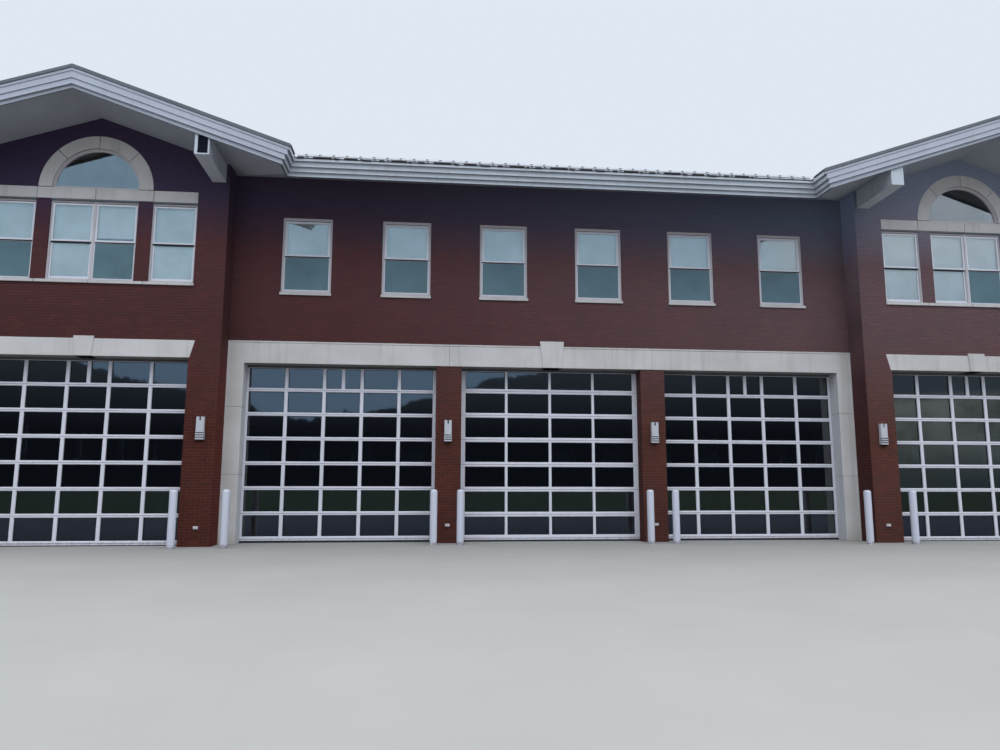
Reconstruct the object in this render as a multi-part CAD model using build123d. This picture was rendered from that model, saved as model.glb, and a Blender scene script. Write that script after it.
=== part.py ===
"""Two-storey brick fire station: three vehicle bays between two gabled wings.

Millimetres, +Z up. The street front faces -Y and its middle plane is y = 0 while modelling;
save() then centres the plan on the origin. Left and right are seen from the street.
"""
import os
from math import hypot
from build123d import *

os.makedirs("parts", exist_ok=True)

# Brickwork: three courses and their joints make 8 inches
COURSE = 203.2 / 3
WALL_T = 381.0

# Plan
HALF_CENTRE = 7878.0
HALF_WING = 3026.0
WING_X = HALF_CENTRE + HALF_WING
HALF_WIDTH = HALF_CENTRE + 2 * HALF_WING
PROJECTION = 637.0
DEPTH = 18300.0
INNER_X = HALF_WIDTH - WALL_T
WING_BACK = WALL_T - PROJECTION

# Vehicle doors
DOOR_HEAD = 63 * COURSE
PIER_X = 2567.0
PIER_W = 610.0
JAMB_W = 394.0
WING_DOOR_HALF = 2320.0
DOOR_LAP = 40.0
DOOR_T = 45.0
GLASS_T = 6.0
DOOR_RAILS = 6
DOOR_GLASS_TOP = 4206.0
SIDE_DOOR_HALF = (HALF_CENTRE - JAMB_W - PIER_X - PIER_W / 2) / 2
# Each type: half opening, seal height, bottom rail's head, lowest middle rail and their pitch, rail and
# bar widths, inner edges of the end stiles, and places of the upright bars
SIDE_DOOR = (SIDE_DOOR_HALF, 50.0, 148.0, 690.0, 596.2, 90.0, 87.0, (-2222.0, 2256.0),
             [-14 + (k - 1.5) * 915.5 for k in range(4)])
MIDDLE_DOOR = (PIER_X - PIER_W / 2, 42.0, 160.0, 657.0, 610.5, 118.0, 68.0, (-2138.0, 2138.0),
               [-1109.0, 0.0, 1109.0])
WING_DOOR = (WING_DOOR_HALF, 20.0, 112.0, 672.0, 596.2, 90.0, 87.0, (-2235.0, 2235.0),
             [(k - 1.5) * 925.5 for k in range(4)])

# Stone dressings
SURROUND_TOP = 71 * COURSE
SURROUND_EDGE = 40.0
EDGE_PROUD = 12.0
KEY_PROUD = 30.0
KEY_RISE = 127.0
KEY_TOP_HALF = 305.0
KEY_FOOT_HALF = 229.0
LINTEL_TOP = 69 * COURSE
LINTEL_TOP_HALF = 2447.0
LINTEL_FOOT_HALF = 2341.0
WING_KEY_HALF = 225.0
WING_KEY_FOOT = 190.0
WING_KEY_RISE = 55.0
SILL_FOOT = 88 * COURSE
SILL_H = 80.0
SILL_PROUD = 45.0
SILL_D = 150.0

# Upper windows
WIN_W = 1210.0
WIN_PITCH = 2443.0
WIN_FOOT = SILL_FOOT + SILL_H
WIN_HEAD = 7935.0
WIN_SETBACK = 30.0
FRAME_D = 90.0
FRAME_W = 45.0
SASH_W = 45.0
BAND_FOOT = 7975.0
BAND_TOP = 8250.0
BAND_HALF = 2322.0
PAIR_HALF = 975.0
SINGLE_IN = 1298.0
SINGLE_OUT = 2322.0
ARCH_R = 985.0
ARCH_RING = 305.0
LOW_WIN_FOOT = 30 * COURSE
LOW_WIN_HEAD = LOW_WIN_FOOT + WIN_HEAD - WIN_FOOT

# Floors
GROUND_T = 50.0
FLOOR_TOP = 5200.0
FLOOR_T = 250.0

# Roof: vertical heights at the wall line, horizontal reaches out from the wall
SLOPE = 0.342
SOFFIT_Z = 8965.0
SOFFIT_T = 20.0
FASCIA_FOOT = 8385.0
FASCIA_IN = 1470.0
FASCIA_BOARDS = [(1510.0, 90.0), (1565.0, 195.0), (1620.0, 310.0), (1675.0, 405.0)]
TOP_BOARD_IN = 1600.0
REACH = FASCIA_BOARDS[-1][0]
DECK_TOP = FASCIA_FOOT + FASCIA_BOARDS[-1][1] + SLOPE * REACH
DECK_T = 60.0
TILE_T = 50.0
TILE_REACH = 1700.0
# The gable fronts' boards are flatter: reach in front of the wing, height over the boards' foot at the apex
RAKE_BOARDS = [(1518.0, 74.0), (1568.0, 204.0), (1588.0, 359.0), (1603.0, 461.4)]
RAKE_TOP_IN = 1545.0
RAKE_TILE_REACH = 1613.0
CAP_HALF = 150.0
CAP_T = 45.0

# Fittings
BRACKET_X = (WING_X - HALF_CENTRE) - 242.0
BRACKET_W = 320.0
BRACKET_FOOT = 8520.0
BRACKET_TAPER = 40.0
BRACKET_RIM = 35.0
VENT_W = 215.0
VENT_H = 500.0
BOLLARD_R = 84.0
BOLLARD_H = 1270.0
BOLLARDS = [(2280.0, -500.0), (2905.0, -500.0), (7475.0, -1020.0), (8565.0, -1115.0), (13240.0, -1115.0)]
LIGHT_W, LIGHT_D, LIGHT_H = 180.0, 100.0, 515.0
OUTLET_W, OUTLET_D, OUTLET_H, OUTLET_Z = 110.0, 50.0, 70.0, 418.0
PIER_LIGHT = (2579.0, 2418.0)
WING_LIGHT = (8213.0, 2386.0)
WING_OUTLET_X = 8197.0
BACK_DOOR_W, BACK_DOOR_H = 1067.0, 32 * COURSE

# The middle of the plan, which the finished part has at y = 0
FRONT_EDGE = -PROJECTION - RAKE_TILE_REACH
BACK_EDGE = DEPTH + TILE_REACH
MIDDLE_Y = (FRONT_EDGE + BACK_EDGE) / 2


def save(name, *shapes):
    """Write the shapes as one node, moved so that the plan is centred on the origin."""
    solids = []
    for shape in shapes:
        solids += (Pos(0, -MIDDLE_Y, 0) * shape).solids()
    export_step(Compound(solids), f"parts/{name}.step")


def block(x, y, z):
    """Box between the two values of each pair."""
    size = Box(abs(x[1] - x[0]), y[1] - y[0], z[1] - z[0])
    return Pos((x[0] + x[1]) / 2, (y[0] + y[1]) / 2, (z[0] + z[1]) / 2) * size


def prism(points, axis, low, high):
    """Straight prism from a polygon of two coordinates, run along the third axis."""
    lift = {"x": lambda a, b: (low, a, b), "y": lambda a, b: (a, low, b), "z": lambda a, b: (a, b, low)}
    way = {"x": (1, 0, 0), "y": (0, 1, 0), "z": (0, 0, 1)}
    face = Face(Wire.make_polygon([lift[axis](a, b) for a, b in points], close=True))
    return extrude(face, amount=high - low, dir=way[axis])


def mirrored(shape):
    """The same shape on the other side of the building's middle."""
    return mirror(shape, about=Plane.YZ)


def spread(shape, places):
    """Copies of a shape at each place."""
    return [Pos(*place) * shape for place in places]


# Roof surfaces, each rising inward from its own wall line

def front_rise(x, y):
    return SLOPE * y


def back_rise(x, y):
    return SLOPE * (DEPTH - y)


def side_rise(x, y):
    return SLOPE * (HALF_WIDTH - abs(x))


def gable_rise(x, y):
    return SLOPE * (abs(x) - HALF_CENTRE)


def slab(plan, rise, level, thick):
    """Sloping slab over a plan polygon, its underside level + rise."""
    corners = [(x, y, level + rise(x, y)) for x, y in plan]
    face = Face(Wire.make_polygon(corners, close=True))
    return extrude(face, amount=thick, dir=(0, 0, 1))


def roof_plans(eave, rake):
    """Plan polygons of the roof slopes for a reach at the eaves and one at the gable fronts."""
    valley = (HALF_CENTRE, 0)
    gable_end = (WING_X, HALF_WING)
    ridge = (HALF_WIDTH - DEPTH / 2, DEPTH / 2)
    front_y = -PROJECTION - rake
    eave_valley = (valley[0] - eave, -eave)
    right_half = [eave_valley, gable_end, ridge]
    left_half = [(-x, y) for x, y in reversed(right_half)]
    back_right = (HALF_WIDTH + eave, DEPTH + eave)
    back_left = (-back_right[0], back_right[1])
    side = [(HALF_WIDTH + eave, front_y), (WING_X, front_y), gable_end, ridge, back_right]
    inner = [(WING_X, front_y), (HALF_CENTRE - eave, front_y), eave_valley, gable_end]
    back = [back_right, ridge, (-ridge[0], ridge[1]), back_left]
    return right_half + left_half, side, inner, back


def tile_layer():
    """The whole layer of roof tiles as one solid."""
    front, side, inner, back = roof_plans(TILE_REACH, RAKE_TILE_REACH)
    half = slab(side, side_rise, DECK_TOP, TILE_T) + slab(inner, gable_rise, DECK_TOP, TILE_T)
    main = slab(front, front_rise, DECK_TOP, TILE_T) + slab(back, back_rise, DECK_TOP, TILE_T)
    return main + half + mirrored(half)


def make_roof():
    deck_level = DECK_TOP - DECK_T
    front, side, inner, back = roof_plans(TOP_BOARD_IN, RAKE_TOP_IN)
    side_deck = slab(side, side_rise, deck_level, DECK_T)
    inner_deck = slab(inner, gable_rise, deck_level, DECK_T)
    save("front_roof_deck", slab(front, front_rise, deck_level, DECK_T))
    save("back_roof_deck", slab(back, back_rise, deck_level, DECK_T))
    save("side_roof_decks", side_deck, mirrored(side_deck))
    save("gable_roof_decks", inner_deck, mirrored(inner_deck))

    save("roof_tiles", tile_layer())


def hip_cap(start, end, left_rise, right_rise):
    """Cap along a hip, with one half on the slope at either hand."""
    run = hypot(end[0] - start[0], end[1] - start[1])
    across = ((end[1] - start[1]) / run * CAP_HALF, (start[0] - end[0]) / run * CAP_HALF)
    halves = []
    for side, rise in ((-1, left_rise), (1, right_rise)):
        strip = [start, end] + [(x + side * across[0], y + side * across[1]) for x, y in (end, start)]
        halves.append(slab(strip, rise, DECK_TOP + TILE_T, CAP_T))
    return halves[0] + halves[1]


def make_ridge_caps():
    """Low caps over the main ridge, the hips and the two gable ridges."""
    top = DECK_TOP + TILE_T
    half_ridge = HALF_WIDTH - DEPTH / 2
    fall = SLOPE * CAP_HALF
    main_z = top + SLOPE * DEPTH / 2
    section = [(-CAP_HALF, -fall), (0, 0), (CAP_HALF, -fall), (CAP_HALF, CAP_T - fall), (0, CAP_T)]
    section += [(-CAP_HALF, CAP_T - fall)]
    main = prism([(DEPTH / 2 + a, main_z + b) for a, b in section], "x", -half_ridge, half_ridge)
    gable_z = top + SLOPE * HALF_WING
    cap = [(WING_X + a, gable_z + b) for a, b in section]
    gable = prism(cap, "y", FRONT_EDGE, HALF_WING - 20)
    ridge_end = (half_ridge, DEPTH / 2)
    front_hip = hip_cap((WING_X, HALF_WING), ridge_end, front_rise, side_rise)
    inset = TILE_REACH - CAP_HALF
    back_hip = hip_cap((HALF_WIDTH + inset, DEPTH + inset), ridge_end, side_rise, back_rise)
    right = gable + front_hip + back_hip
    save("ridge_caps", main + right + mirrored(right) - tile_layer())


# Eaves

def eave_run(ends):
    """Stepped fascia; ends(reach, rake) gives the two plan points of its face line.

    The rake is the y where the boards of the gable front end at their back.
    """
    boards = []
    foot = 0.0
    for number, (reach, head) in enumerate(FASCIA_BOARDS):
        top = number == len(FASCIA_BOARDS) - 1
        back = TOP_BOARD_IN if top else FASCIA_IN
        rake = -PROJECTION - (RAKE_TOP_IN if top else FASCIA_IN)
        near, far = ends(back, rake), ends(reach, rake)
        plan = [near[0], far[0], far[1], near[1]]
        boards.append(prism(plan, "z", FASCIA_FOOT + foot, FASCIA_FOOT + head))
        foot = head
    return boards[0] + boards[1:]


def gable_boards():
    """Stepped boards under the slopes of the right wing's gable front."""
    apex = FASCIA_FOOT + SLOPE * (HALF_WING + FASCIA_BOARDS[0][0])
    halves = [HALF_WING + reach for reach, head in FASCIA_BOARDS]
    laps = [(halves[0], FASCIA_FOOT, apex)]
    for half, (side_reach, end_head), (reach, head) in zip(halves[1:] + halves[-1:], FASCIA_BOARDS, RAKE_BOARDS):
        laps.append((half, FASCIA_FOOT + end_head, apex + head))
    boards = []
    for number, half in enumerate(halves):
        foot, head = [(mid, mid - (mid - end) / at * half) for at, end, mid in laps[number:number + 2]]
        outline = [(-half, foot[1]), (0, foot[0]), (half, foot[1]), (half, head[1]), (0, head[0]), (-half, head[1])]
        outline = [(WING_X + x, z) for x, z in outline]
        back = RAKE_TOP_IN if number == len(halves) - 1 else FASCIA_IN
        boards.append(prism(outline, "y", -PROJECTION - RAKE_BOARDS[number][0], -PROJECTION - back))
    return boards[0] + boards[1:]


def make_fascias():
    gable = gable_boards()
    save("gable_fascias", gable, mirrored(gable))
    front = eave_run(lambda r, rake: ((-HALF_CENTRE + r, -r), (HALF_CENTRE - r, -r)))
    turn = eave_run(lambda r, rake: ((HALF_CENTRE - r, rake), (HALF_CENTRE - r, -r))) - gable
    save("centre_eave_fascia", front + turn + mirrored(turn))
    side = eave_run(lambda r, rake: ((HALF_WIDTH + r, rake), (HALF_WIDTH + r, DEPTH + r))) - gable
    save("side_eave_fascias", side, mirrored(side))
    save("back_eave_fascia", eave_run(lambda r, rake: ((-HALF_WIDTH - r, DEPTH + r), (HALF_WIDTH + r, DEPTH + r))))


def make_soffits():
    wall_y = -PROJECTION
    front_y = wall_y - FASCIA_IN
    inner_x = HALF_CENTRE - FASCIA_IN
    outer_x = HALF_WIDTH + FASCIA_IN
    inner = slab([(inner_x, front_y), (WING_X, front_y), (WING_X, wall_y), (HALF_CENTRE, wall_y),
                  (HALF_CENTRE, 0), (inner_x, -FASCIA_IN)], gable_rise, SOFFIT_Z, SOFFIT_T)
    outer = slab([(WING_X, front_y), (outer_x, front_y), (outer_x, wall_y), (WING_X, wall_y)],
                 side_rise, SOFFIT_Z, SOFFIT_T)
    gable = inner + outer
    save("gable_soffits", gable, mirrored(gable))

    front = slab([(-inner_x, -FASCIA_IN), (inner_x, -FASCIA_IN), (HALF_CENTRE, 0), (-HALF_CENTRE, 0)],
                 front_rise, SOFFIT_Z, SOFFIT_T)
    save("centre_soffit", front)

    side = slab([(HALF_WIDTH, wall_y), (outer_x, wall_y), (outer_x, DEPTH + FASCIA_IN), (HALF_WIDTH, DEPTH)],
                side_rise, SOFFIT_Z, SOFFIT_T)
    save("side_soffits", side, mirrored(side))
    back = slab([(-HALF_WIDTH, DEPTH), (-outer_x, DEPTH + FASCIA_IN), (outer_x, DEPTH + FASCIA_IN),
                 (HALF_WIDTH, DEPTH)], back_rise, SOFFIT_Z, SOFFIT_T)
    save("back_soffit", back)


def make_brackets():
    """Boxed beam ends under each gable, one near either corner of the wing."""
    half = BRACKET_W / 2
    top = SOFFIT_Z + SLOPE * HALF_WING
    near, far = BRACKET_X - half, BRACKET_X + half
    section = [(near, BRACKET_FOOT), (far, BRACKET_FOOT), (far, top - SLOPE * far), (near, top - SLOPE * near)]
    front_y = -PROJECTION - FASCIA_IN
    taper = prism([(-PROJECTION, BRACKET_FOOT), (front_y, BRACKET_FOOT), (front_y, BRACKET_FOOT + BRACKET_TAPER)],
                  "x", HALF_CENTRE, HALF_WIDTH)
    inner = prism([(WING_X - x, z) for x, z in section], "y", front_y, -PROJECTION) - taper
    outer = prism([(WING_X + x, z) for x, z in section], "y", front_y, -PROJECTION) - taper
    vent_foot = BRACKET_FOOT + BRACKET_TAPER + BRACKET_RIM
    vent_x = WING_X - far + BRACKET_RIM
    vent = block((vent_x, vent_x + VENT_W), (front_y, front_y + 150), (vent_foot, vent_foot + VENT_H))
    save("gable_brackets", inner, outer, mirrored(inner) - mirrored(vent), mirrored(outer))


# Walls

def window_opening(x, foot, head, width):
    return block((x - width / 2, x + width / 2), (-1, WALL_T + 1), (foot, head))


def sill_seat(x, foot, half):
    return block((x - half, x + half), (-1, SILL_D), (foot, foot + SILL_H))


def make_sill(half):
    """Stone sill with its front face proud of the wall at y = 0."""
    sill = block((-half, half), (-SILL_PROUD, SILL_D), (0, SILL_H))
    return chamfer(sill.edges().filter_by(Axis.X).group_by(Axis.Z)[-1].sort_by(Axis.Y)[0], 15)


def wall_openings(places, foot, head):
    """Window holes and the seats of their sills, in a wall whose face is y = 0."""
    cuts = []
    for x in places:
        cuts.append(window_opening(x, foot, head, WIN_W))
        cuts.append(sill_seat(x, foot - SILL_H, WIN_W / 2 + 15))
    return cuts


FRONT_WINDOWS = [(k - 2.5) * WIN_PITCH for k in range(6)]
BACK_WINDOWS = [(k - 4.5) * WIN_PITCH for k in range(10)]
BACK_LOW_WINDOWS = [x for x in BACK_WINDOWS if abs(x) > WIN_PITCH]
SIDE_PITCH = 3250.0
SIDE_WINDOWS = [DEPTH / 2 + (k - 2) * SIDE_PITCH for k in range(5)]
KEY_OUTLINE = [(-KEY_FOOT_HALF, DOOR_HEAD), (KEY_FOOT_HALF, DOOR_HEAD),
               (KEY_TOP_HALF, SURROUND_TOP + KEY_RISE), (-KEY_TOP_HALF, SURROUND_TOP + KEY_RISE)]
WALL_TOP = DECK_TOP - DECK_T


def make_centre_front():
    top = WALL_TOP + SLOPE * WALL_T
    section = [(0, SURROUND_TOP), (WALL_T, SURROUND_TOP), (WALL_T, top), (0, WALL_TOP)]
    wall = prism(section, "x", -HALF_CENTRE, HALF_CENTRE)
    wall -= wall_openings(FRONT_WINDOWS, WIN_FOOT, WIN_HEAD)
    wall -= prism(KEY_OUTLINE, "y", -1, WALL_T + 1)
    save("centre_front_wall", wall)
    pier = block((-PIER_W / 2, PIER_W / 2), (10, WALL_T), (0, DOOR_HEAD))
    save("centre_brick_piers", *spread(pier, [(-PIER_X, 0, 0), (PIER_X, 0, 0)]))

    jamb = block((HALF_CENTRE - JAMB_W, HALF_CENTRE), (0, WALL_T), (0, DOOR_HEAD))
    jamb += block((HALF_CENTRE - SURROUND_EDGE, HALF_CENTRE), (-EDGE_PROUD, 0), (0, DOOR_HEAD))
    save("centre_stone_jambs", jamb, mirrored(jamb))
    lintel = block((-HALF_CENTRE, HALF_CENTRE), (0, WALL_T), (DOOR_HEAD, SURROUND_TOP))
    lintel += block((-HALF_CENTRE, HALF_CENTRE), (-EDGE_PROUD, 0), (SURROUND_TOP - SURROUND_EDGE, SURROUND_TOP))
    end = block((HALF_CENTRE - SURROUND_EDGE, HALF_CENTRE), (-EDGE_PROUD, 0), (DOOR_HEAD, SURROUND_TOP))
    lintel += end + mirrored(end)
    lintel += prism(KEY_OUTLINE, "y", -KEY_PROUD, WALL_T)
    save("centre_stone_lintel", lintel)


def wing_lintel_shapes():
    lintel = [(-LINTEL_FOOT_HALF, DOOR_HEAD), (LINTEL_FOOT_HALF, DOOR_HEAD),
              (LINTEL_TOP_HALF, LINTEL_TOP), (-LINTEL_TOP_HALF, LINTEL_TOP)]
    key = [(-WING_KEY_FOOT, DOOR_HEAD), (WING_KEY_FOOT, DOOR_HEAD),
           (WING_KEY_HALF, LINTEL_TOP + WING_KEY_RISE), (-WING_KEY_HALF, LINTEL_TOP + WING_KEY_RISE)]
    return [[(WING_X + x, z) for x, z in outline] for outline in (lintel, key)]


def half_disc(radius, low, high):
    """Half round prism standing on the band, run along Y."""
    face = Plane.XZ * (Circle(radius) & Pos(0, radius) * Rectangle(2 * radius, 2 * radius))
    return Pos(WING_X, high, BAND_TOP) * extrude(face, amount=high - low)


def make_wings():
    apex = WALL_TOP + SLOPE * HALF_WING
    face_y = -PROJECTION
    outline = [(HALF_CENTRE, 0), (HALF_WIDTH, 0), (HALF_WIDTH, WALL_TOP), (WING_X, apex), (HALF_CENTRE, WALL_TOP)]
    wall = prism(outline, "y", face_y, WING_BACK)
    back_x = HALF_CENTRE + WALL_T
    turn = [(HALF_CENTRE, 0), (back_x, 0), (back_x, WALL_TOP + SLOPE * WALL_T), (HALF_CENTRE, WALL_TOP)]
    wall += prism(turn, "y", WING_BACK, WALL_T)

    through = (face_y - 1, WING_BACK + 1)
    wall -= block((WING_X - WING_DOOR_HALF, WING_X + WING_DOOR_HALF), through, (-1, DOOR_HEAD))
    lintel_outline, key_outline = wing_lintel_shapes()
    lintel = prism(lintel_outline, "y", face_y, WING_BACK) + prism(key_outline, "y", face_y - KEY_PROUD, WING_BACK)
    band = block((WING_X - BAND_HALF, WING_X + BAND_HALF), (face_y, WING_BACK), (BAND_FOOT, BAND_TOP))
    arch_outer = half_disc(ARCH_R + ARCH_RING, face_y, WING_BACK)
    arch = arch_outer - half_disc(ARCH_R, face_y - 1, WING_BACK + 1)
    wall -= [lintel, band, arch_outer]
    wall -= block((WING_X - PAIR_HALF, WING_X + PAIR_HALF), through, (WIN_FOOT, WIN_HEAD))
    for side in (-1, 1):
        span = (WING_X + side * SINGLE_IN, WING_X + side * SINGLE_OUT)
        wall -= block((min(span), max(span)), through, (WIN_FOOT, WIN_HEAD))
    sill_half = BAND_HALF + 18
    wall -= Pos(WING_X, face_y, 0) * sill_seat(0, SILL_FOOT, sill_half)
    save("left_wing_front_wall", mirrored(wall))
    save("right_wing_front_wall", wall)
    save("wing_stone_lintels", lintel, mirrored(lintel))
    save("wing_stone_bands", band, mirrored(band))
    save("wing_stone_arches", arch, mirrored(arch))
    sill = Pos(WING_X, face_y, SILL_FOOT) * make_sill(sill_half)
    front_sills = spread(make_sill(WIN_W / 2 + 15), [(x, 0, SILL_FOOT) for x in FRONT_WINDOWS])
    save("front_stone_sills", sill, mirrored(sill), *front_sills)


def side_place(shape):
    """Turn a shape made for a wall facing -Y so that it faces the right, at the right wall."""
    return Pos(HALF_WIDTH, 0, 0) * (Rot(0, 0, 90) * shape)


def back_place(shape):
    return Pos(0, DEPTH, 0) * (Rot(0, 0, 180) * shape)


def make_other_walls():
    top = WALL_TOP + SLOPE * WALL_T
    section = [(HALF_WIDTH, 0), (INNER_X, 0), (INNER_X, top), (HALF_WIDTH, WALL_TOP)]
    side = prism(section, "y", WING_BACK, DEPTH - WALL_T)
    cuts = wall_openings(SIDE_WINDOWS, WIN_FOOT, WIN_HEAD) + wall_openings(SIDE_WINDOWS, LOW_WIN_FOOT, LOW_WIN_HEAD)
    side -= [side_place(cut) for cut in cuts]
    save("left_side_wall", mirrored(side))
    save("right_side_wall", side)

    back = block((-HALF_WIDTH, HALF_WIDTH), (DEPTH - WALL_T, DEPTH), (0, top + SLOPE * WALL_T))
    for slope_side in (-1, 1):
        corner = [(slope_side * HALF_WIDTH, WALL_TOP), (slope_side * INNER_X, top),
                  (slope_side * INNER_X, top * 2), (slope_side * HALF_WIDTH, top * 2)]
        back -= prism(corner, "y", DEPTH - WALL_T - 1, DEPTH + 1)
    over = [(DEPTH, WALL_TOP), (DEPTH - WALL_T, top), (DEPTH - WALL_T, top * 2), (DEPTH, top * 2)]
    back -= prism(over, "x", -HALF_WIDTH - 1, HALF_WIDTH + 1)
    cuts = wall_openings(BACK_WINDOWS, WIN_FOOT, WIN_HEAD) + wall_openings(BACK_LOW_WINDOWS, LOW_WIN_FOOT, LOW_WIN_HEAD)
    back -= [back_place(cut) for cut in cuts]
    half = BACK_DOOR_W / 2 + FRAME_W
    back -= block((-half, half), (DEPTH - WALL_T - 1, DEPTH + 1), (-1, BACK_DOOR_H + FRAME_W))
    save("back_wall", back)

    sills = []
    for foot in (SILL_FOOT, LOW_WIN_FOOT - SILL_H):
        sills += spread(make_sill(WIN_W / 2 + 15), [(y, 0, foot) for y in SIDE_WINDOWS])
    side_sills = [side_place(sill) for sill in sills]
    sills = spread(make_sill(WIN_W / 2 + 15), [(x, 0, SILL_FOOT) for x in BACK_WINDOWS])
    sills += spread(make_sill(WIN_W / 2 + 15), [(x, 0, LOW_WIN_FOOT - SILL_H) for x in BACK_LOW_WINDOWS])
    back_sills = [back_place(sill) for sill in sills]
    save("side_and_back_sills", *side_sills, *[mirrored(sill) for sill in side_sills], *back_sills)


def make_floors():
    def plan(gap, low, high):
        front = block((-HALF_CENTRE - WALL_T, HALF_CENTRE + WALL_T), (WALL_T + gap, DEPTH - WALL_T), (low, high))
        wing = block((HALF_CENTRE + WALL_T, INNER_X), (WING_BACK + gap, DEPTH - WALL_T), (low, high))
        return front + wing + mirrored(wing)

    save("ground_slab", plan(DOOR_T + GLASS_T, 0, GROUND_T))
    save("upper_floor", plan(0, FLOOR_TOP - FLOOR_T, FLOOR_TOP))


# Windows and doors

def ring(half, low, high, face, depth):
    """Rectangular frame with members of one width."""
    outer = block((-half, half), depth, (low, high))
    return outer - block((-half + face, half - face), (depth[0] - 1, depth[1] + 1), (low + face, high - face))


def double_hung(width, height):
    """Frame with two sashes, the upper one in front, and its two panes; front at y = 0."""
    half = width / 2
    middle = height / 2
    frame = ring(half, 0, height, FRAME_W, (0, FRAME_D))
    inside = half - FRAME_W
    upper = ring(inside, middle - SASH_W / 2, height - FRAME_W, SASH_W, (20, 50))
    lower = ring(inside, FRAME_W, middle + SASH_W / 2, SASH_W, (50, 80))
    light = inside - SASH_W
    panes = []
    for low, high, y in ((middle + SASH_W / 2, height - FRAME_W - SASH_W, 32),
                         (FRAME_W + SASH_W, middle - SASH_W / 2, 62)):
        panes.append(block((-light, light), (y, y + GLASS_T), (low, high)))
    return frame + upper + lower, panes


def make_windows():
    height = WIN_HEAD - WIN_FOOT
    frame, panes = double_hung(WIN_W, height)
    front_places = [(x, WIN_SETBACK, WIN_FOOT) for x in FRONT_WINDOWS]
    centre_frames = spread(frame, front_places)
    centre_glass = [shape for pane in panes for shape in spread(pane, front_places)]
    blind_half = WIN_W / 2 - FRAME_W
    blind = block((-blind_half, blind_half), (84, 88), (height / 2, height - FRAME_W))
    save("centre_window_blinds", *spread(blind, front_places))

    depth = -PROJECTION + WIN_SETBACK
    pair_frame, pair_panes = double_hung(PAIR_HALF, height)
    single_w = SINGLE_OUT - SINGLE_IN
    single_frame, single_panes = double_hung(single_w, height)
    single_x = (SINGLE_OUT + SINGLE_IN) / 2
    pair_places = [(WING_X + side * PAIR_HALF / 2, depth, WIN_FOOT) for side in (-1, 1)]
    single_places = [(WING_X + side * single_x, depth, WIN_FOOT) for side in (-1, 1)]
    pair = spread(pair_frame, pair_places)
    frames = [pair[0] + pair[1]] + spread(single_frame, single_places)
    glass = [shape for pane in pair_panes for shape in spread(pane, pair_places)]
    glass += [shape for pane in single_panes for shape in spread(pane, single_places)]

    deep = (depth, depth + FRAME_D)
    inner_r = ARCH_R - FRAME_W - 20
    arch_frame = half_disc(ARCH_R, *deep)
    arch_frame -= half_disc(inner_r, deep[0] - 1, deep[1] + 1) & block(
        (WING_X - ARCH_R, WING_X + ARCH_R), (deep[0] - 1, deep[1] + 1), (BAND_TOP + FRAME_W, BAND_TOP + ARCH_R))
    arch_glass = half_disc(inner_r, depth + 40, depth + 40 + GLASS_T) & block(
        (WING_X - ARCH_R, WING_X + ARCH_R), deep, (BAND_TOP + FRAME_W, BAND_TOP + ARCH_R))
    frames.append(arch_frame)
    glass.append(arch_glass)
    save("front_window_frames", *centre_frames, *frames, *[mirrored(shape) for shape in frames])
    save("front_window_glass", *centre_glass, *glass, *[mirrored(shape) for shape in glass])

    rows = [(y, WIN_SETBACK, foot) for y in SIDE_WINDOWS for foot in (WIN_FOOT, LOW_WIN_FOOT)]
    side_frames = [side_place(shape) for shape in spread(frame, rows)]
    side_panes = [side_place(shape) for pane in panes for shape in spread(pane, rows)]
    rows = [(x, WIN_SETBACK, WIN_FOOT) for x in BACK_WINDOWS]
    rows += [(x, WIN_SETBACK, LOW_WIN_FOOT) for x in BACK_LOW_WINDOWS]
    back_frames = [back_place(shape) for shape in spread(frame, rows)]
    back_panes = [back_place(shape) for pane in panes for shape in spread(pane, rows)]
    save("side_and_back_frames", *side_frames, *[mirrored(shape) for shape in side_frames], *back_frames)
    save("side_and_back_glass", *side_panes, *[mirrored(shape) for shape in side_panes], *back_panes)


def glazed_door(half, seal_top, glass_foot, first_rail, pitch, rail, bar, stiles, bars):
    """Sectional door of glazed rows; its front face is y = 0 and the opening is 2 * half wide."""
    door = block((-half - DOOR_LAP, half + DOOR_LAP), (0, DOOR_T), (seal_top, DOOR_HEAD + DOOR_LAP))
    rails = [first_rail + k * pitch for k in range(DOOR_RAILS)]
    lows = [glass_foot] + [z + rail / 2 for z in rails]
    highs = [z - rail / 2 for z in rails] + [DOOR_GLASS_TOP]
    lefts = [stiles[0]] + [x + bar / 2 for x in bars]
    rights = [x - bar / 2 for x in bars] + [stiles[1]]
    door -= [block(x, (-1, DOOR_T + 1), z) for z in zip(lows, highs) for x in zip(lefts, rights)]
    if len(bars) == 4:
        middle = (bars[0] + bars[-1]) / 2
        door += block((middle - bar / 2, middle + bar / 2), (0, DOOR_T), (lows[-1], highs[-1]))
    glass = block((-half, half), (DOOR_T, DOOR_T + GLASS_T), (seal_top, DOOR_HEAD))
    seal = block((-half - DOOR_LAP, half + DOOR_LAP), (0, DOOR_T), (0, seal_top))
    return door, glass, seal


def make_vehicle_doors():
    side_x = PIER_X + PIER_W / 2 + SIDE_DOOR_HALF
    placed = []
    for side, middle, wing in zip(glazed_door(*SIDE_DOOR), glazed_door(*MIDDLE_DOOR), glazed_door(*WING_DOOR)):
        side = Pos(side_x, WALL_T, 0) * side
        wing = Pos(WING_X, WING_BACK, 0) * wing
        placed.append(([mirrored(side), Pos(0, WALL_T, 0) * middle, side], [mirrored(wing), wing]))
    (centre_frames, wing_frames), (centre_glass, wing_glass), (centre_seals, wing_seals) = placed
    save("centre_door_frames", *centre_frames)
    save("wing_door_frames", *wing_frames)
    save("door_glass", *centre_glass, *wing_glass)
    save("door_bottom_seals", *centre_seals, *wing_seals)


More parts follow.
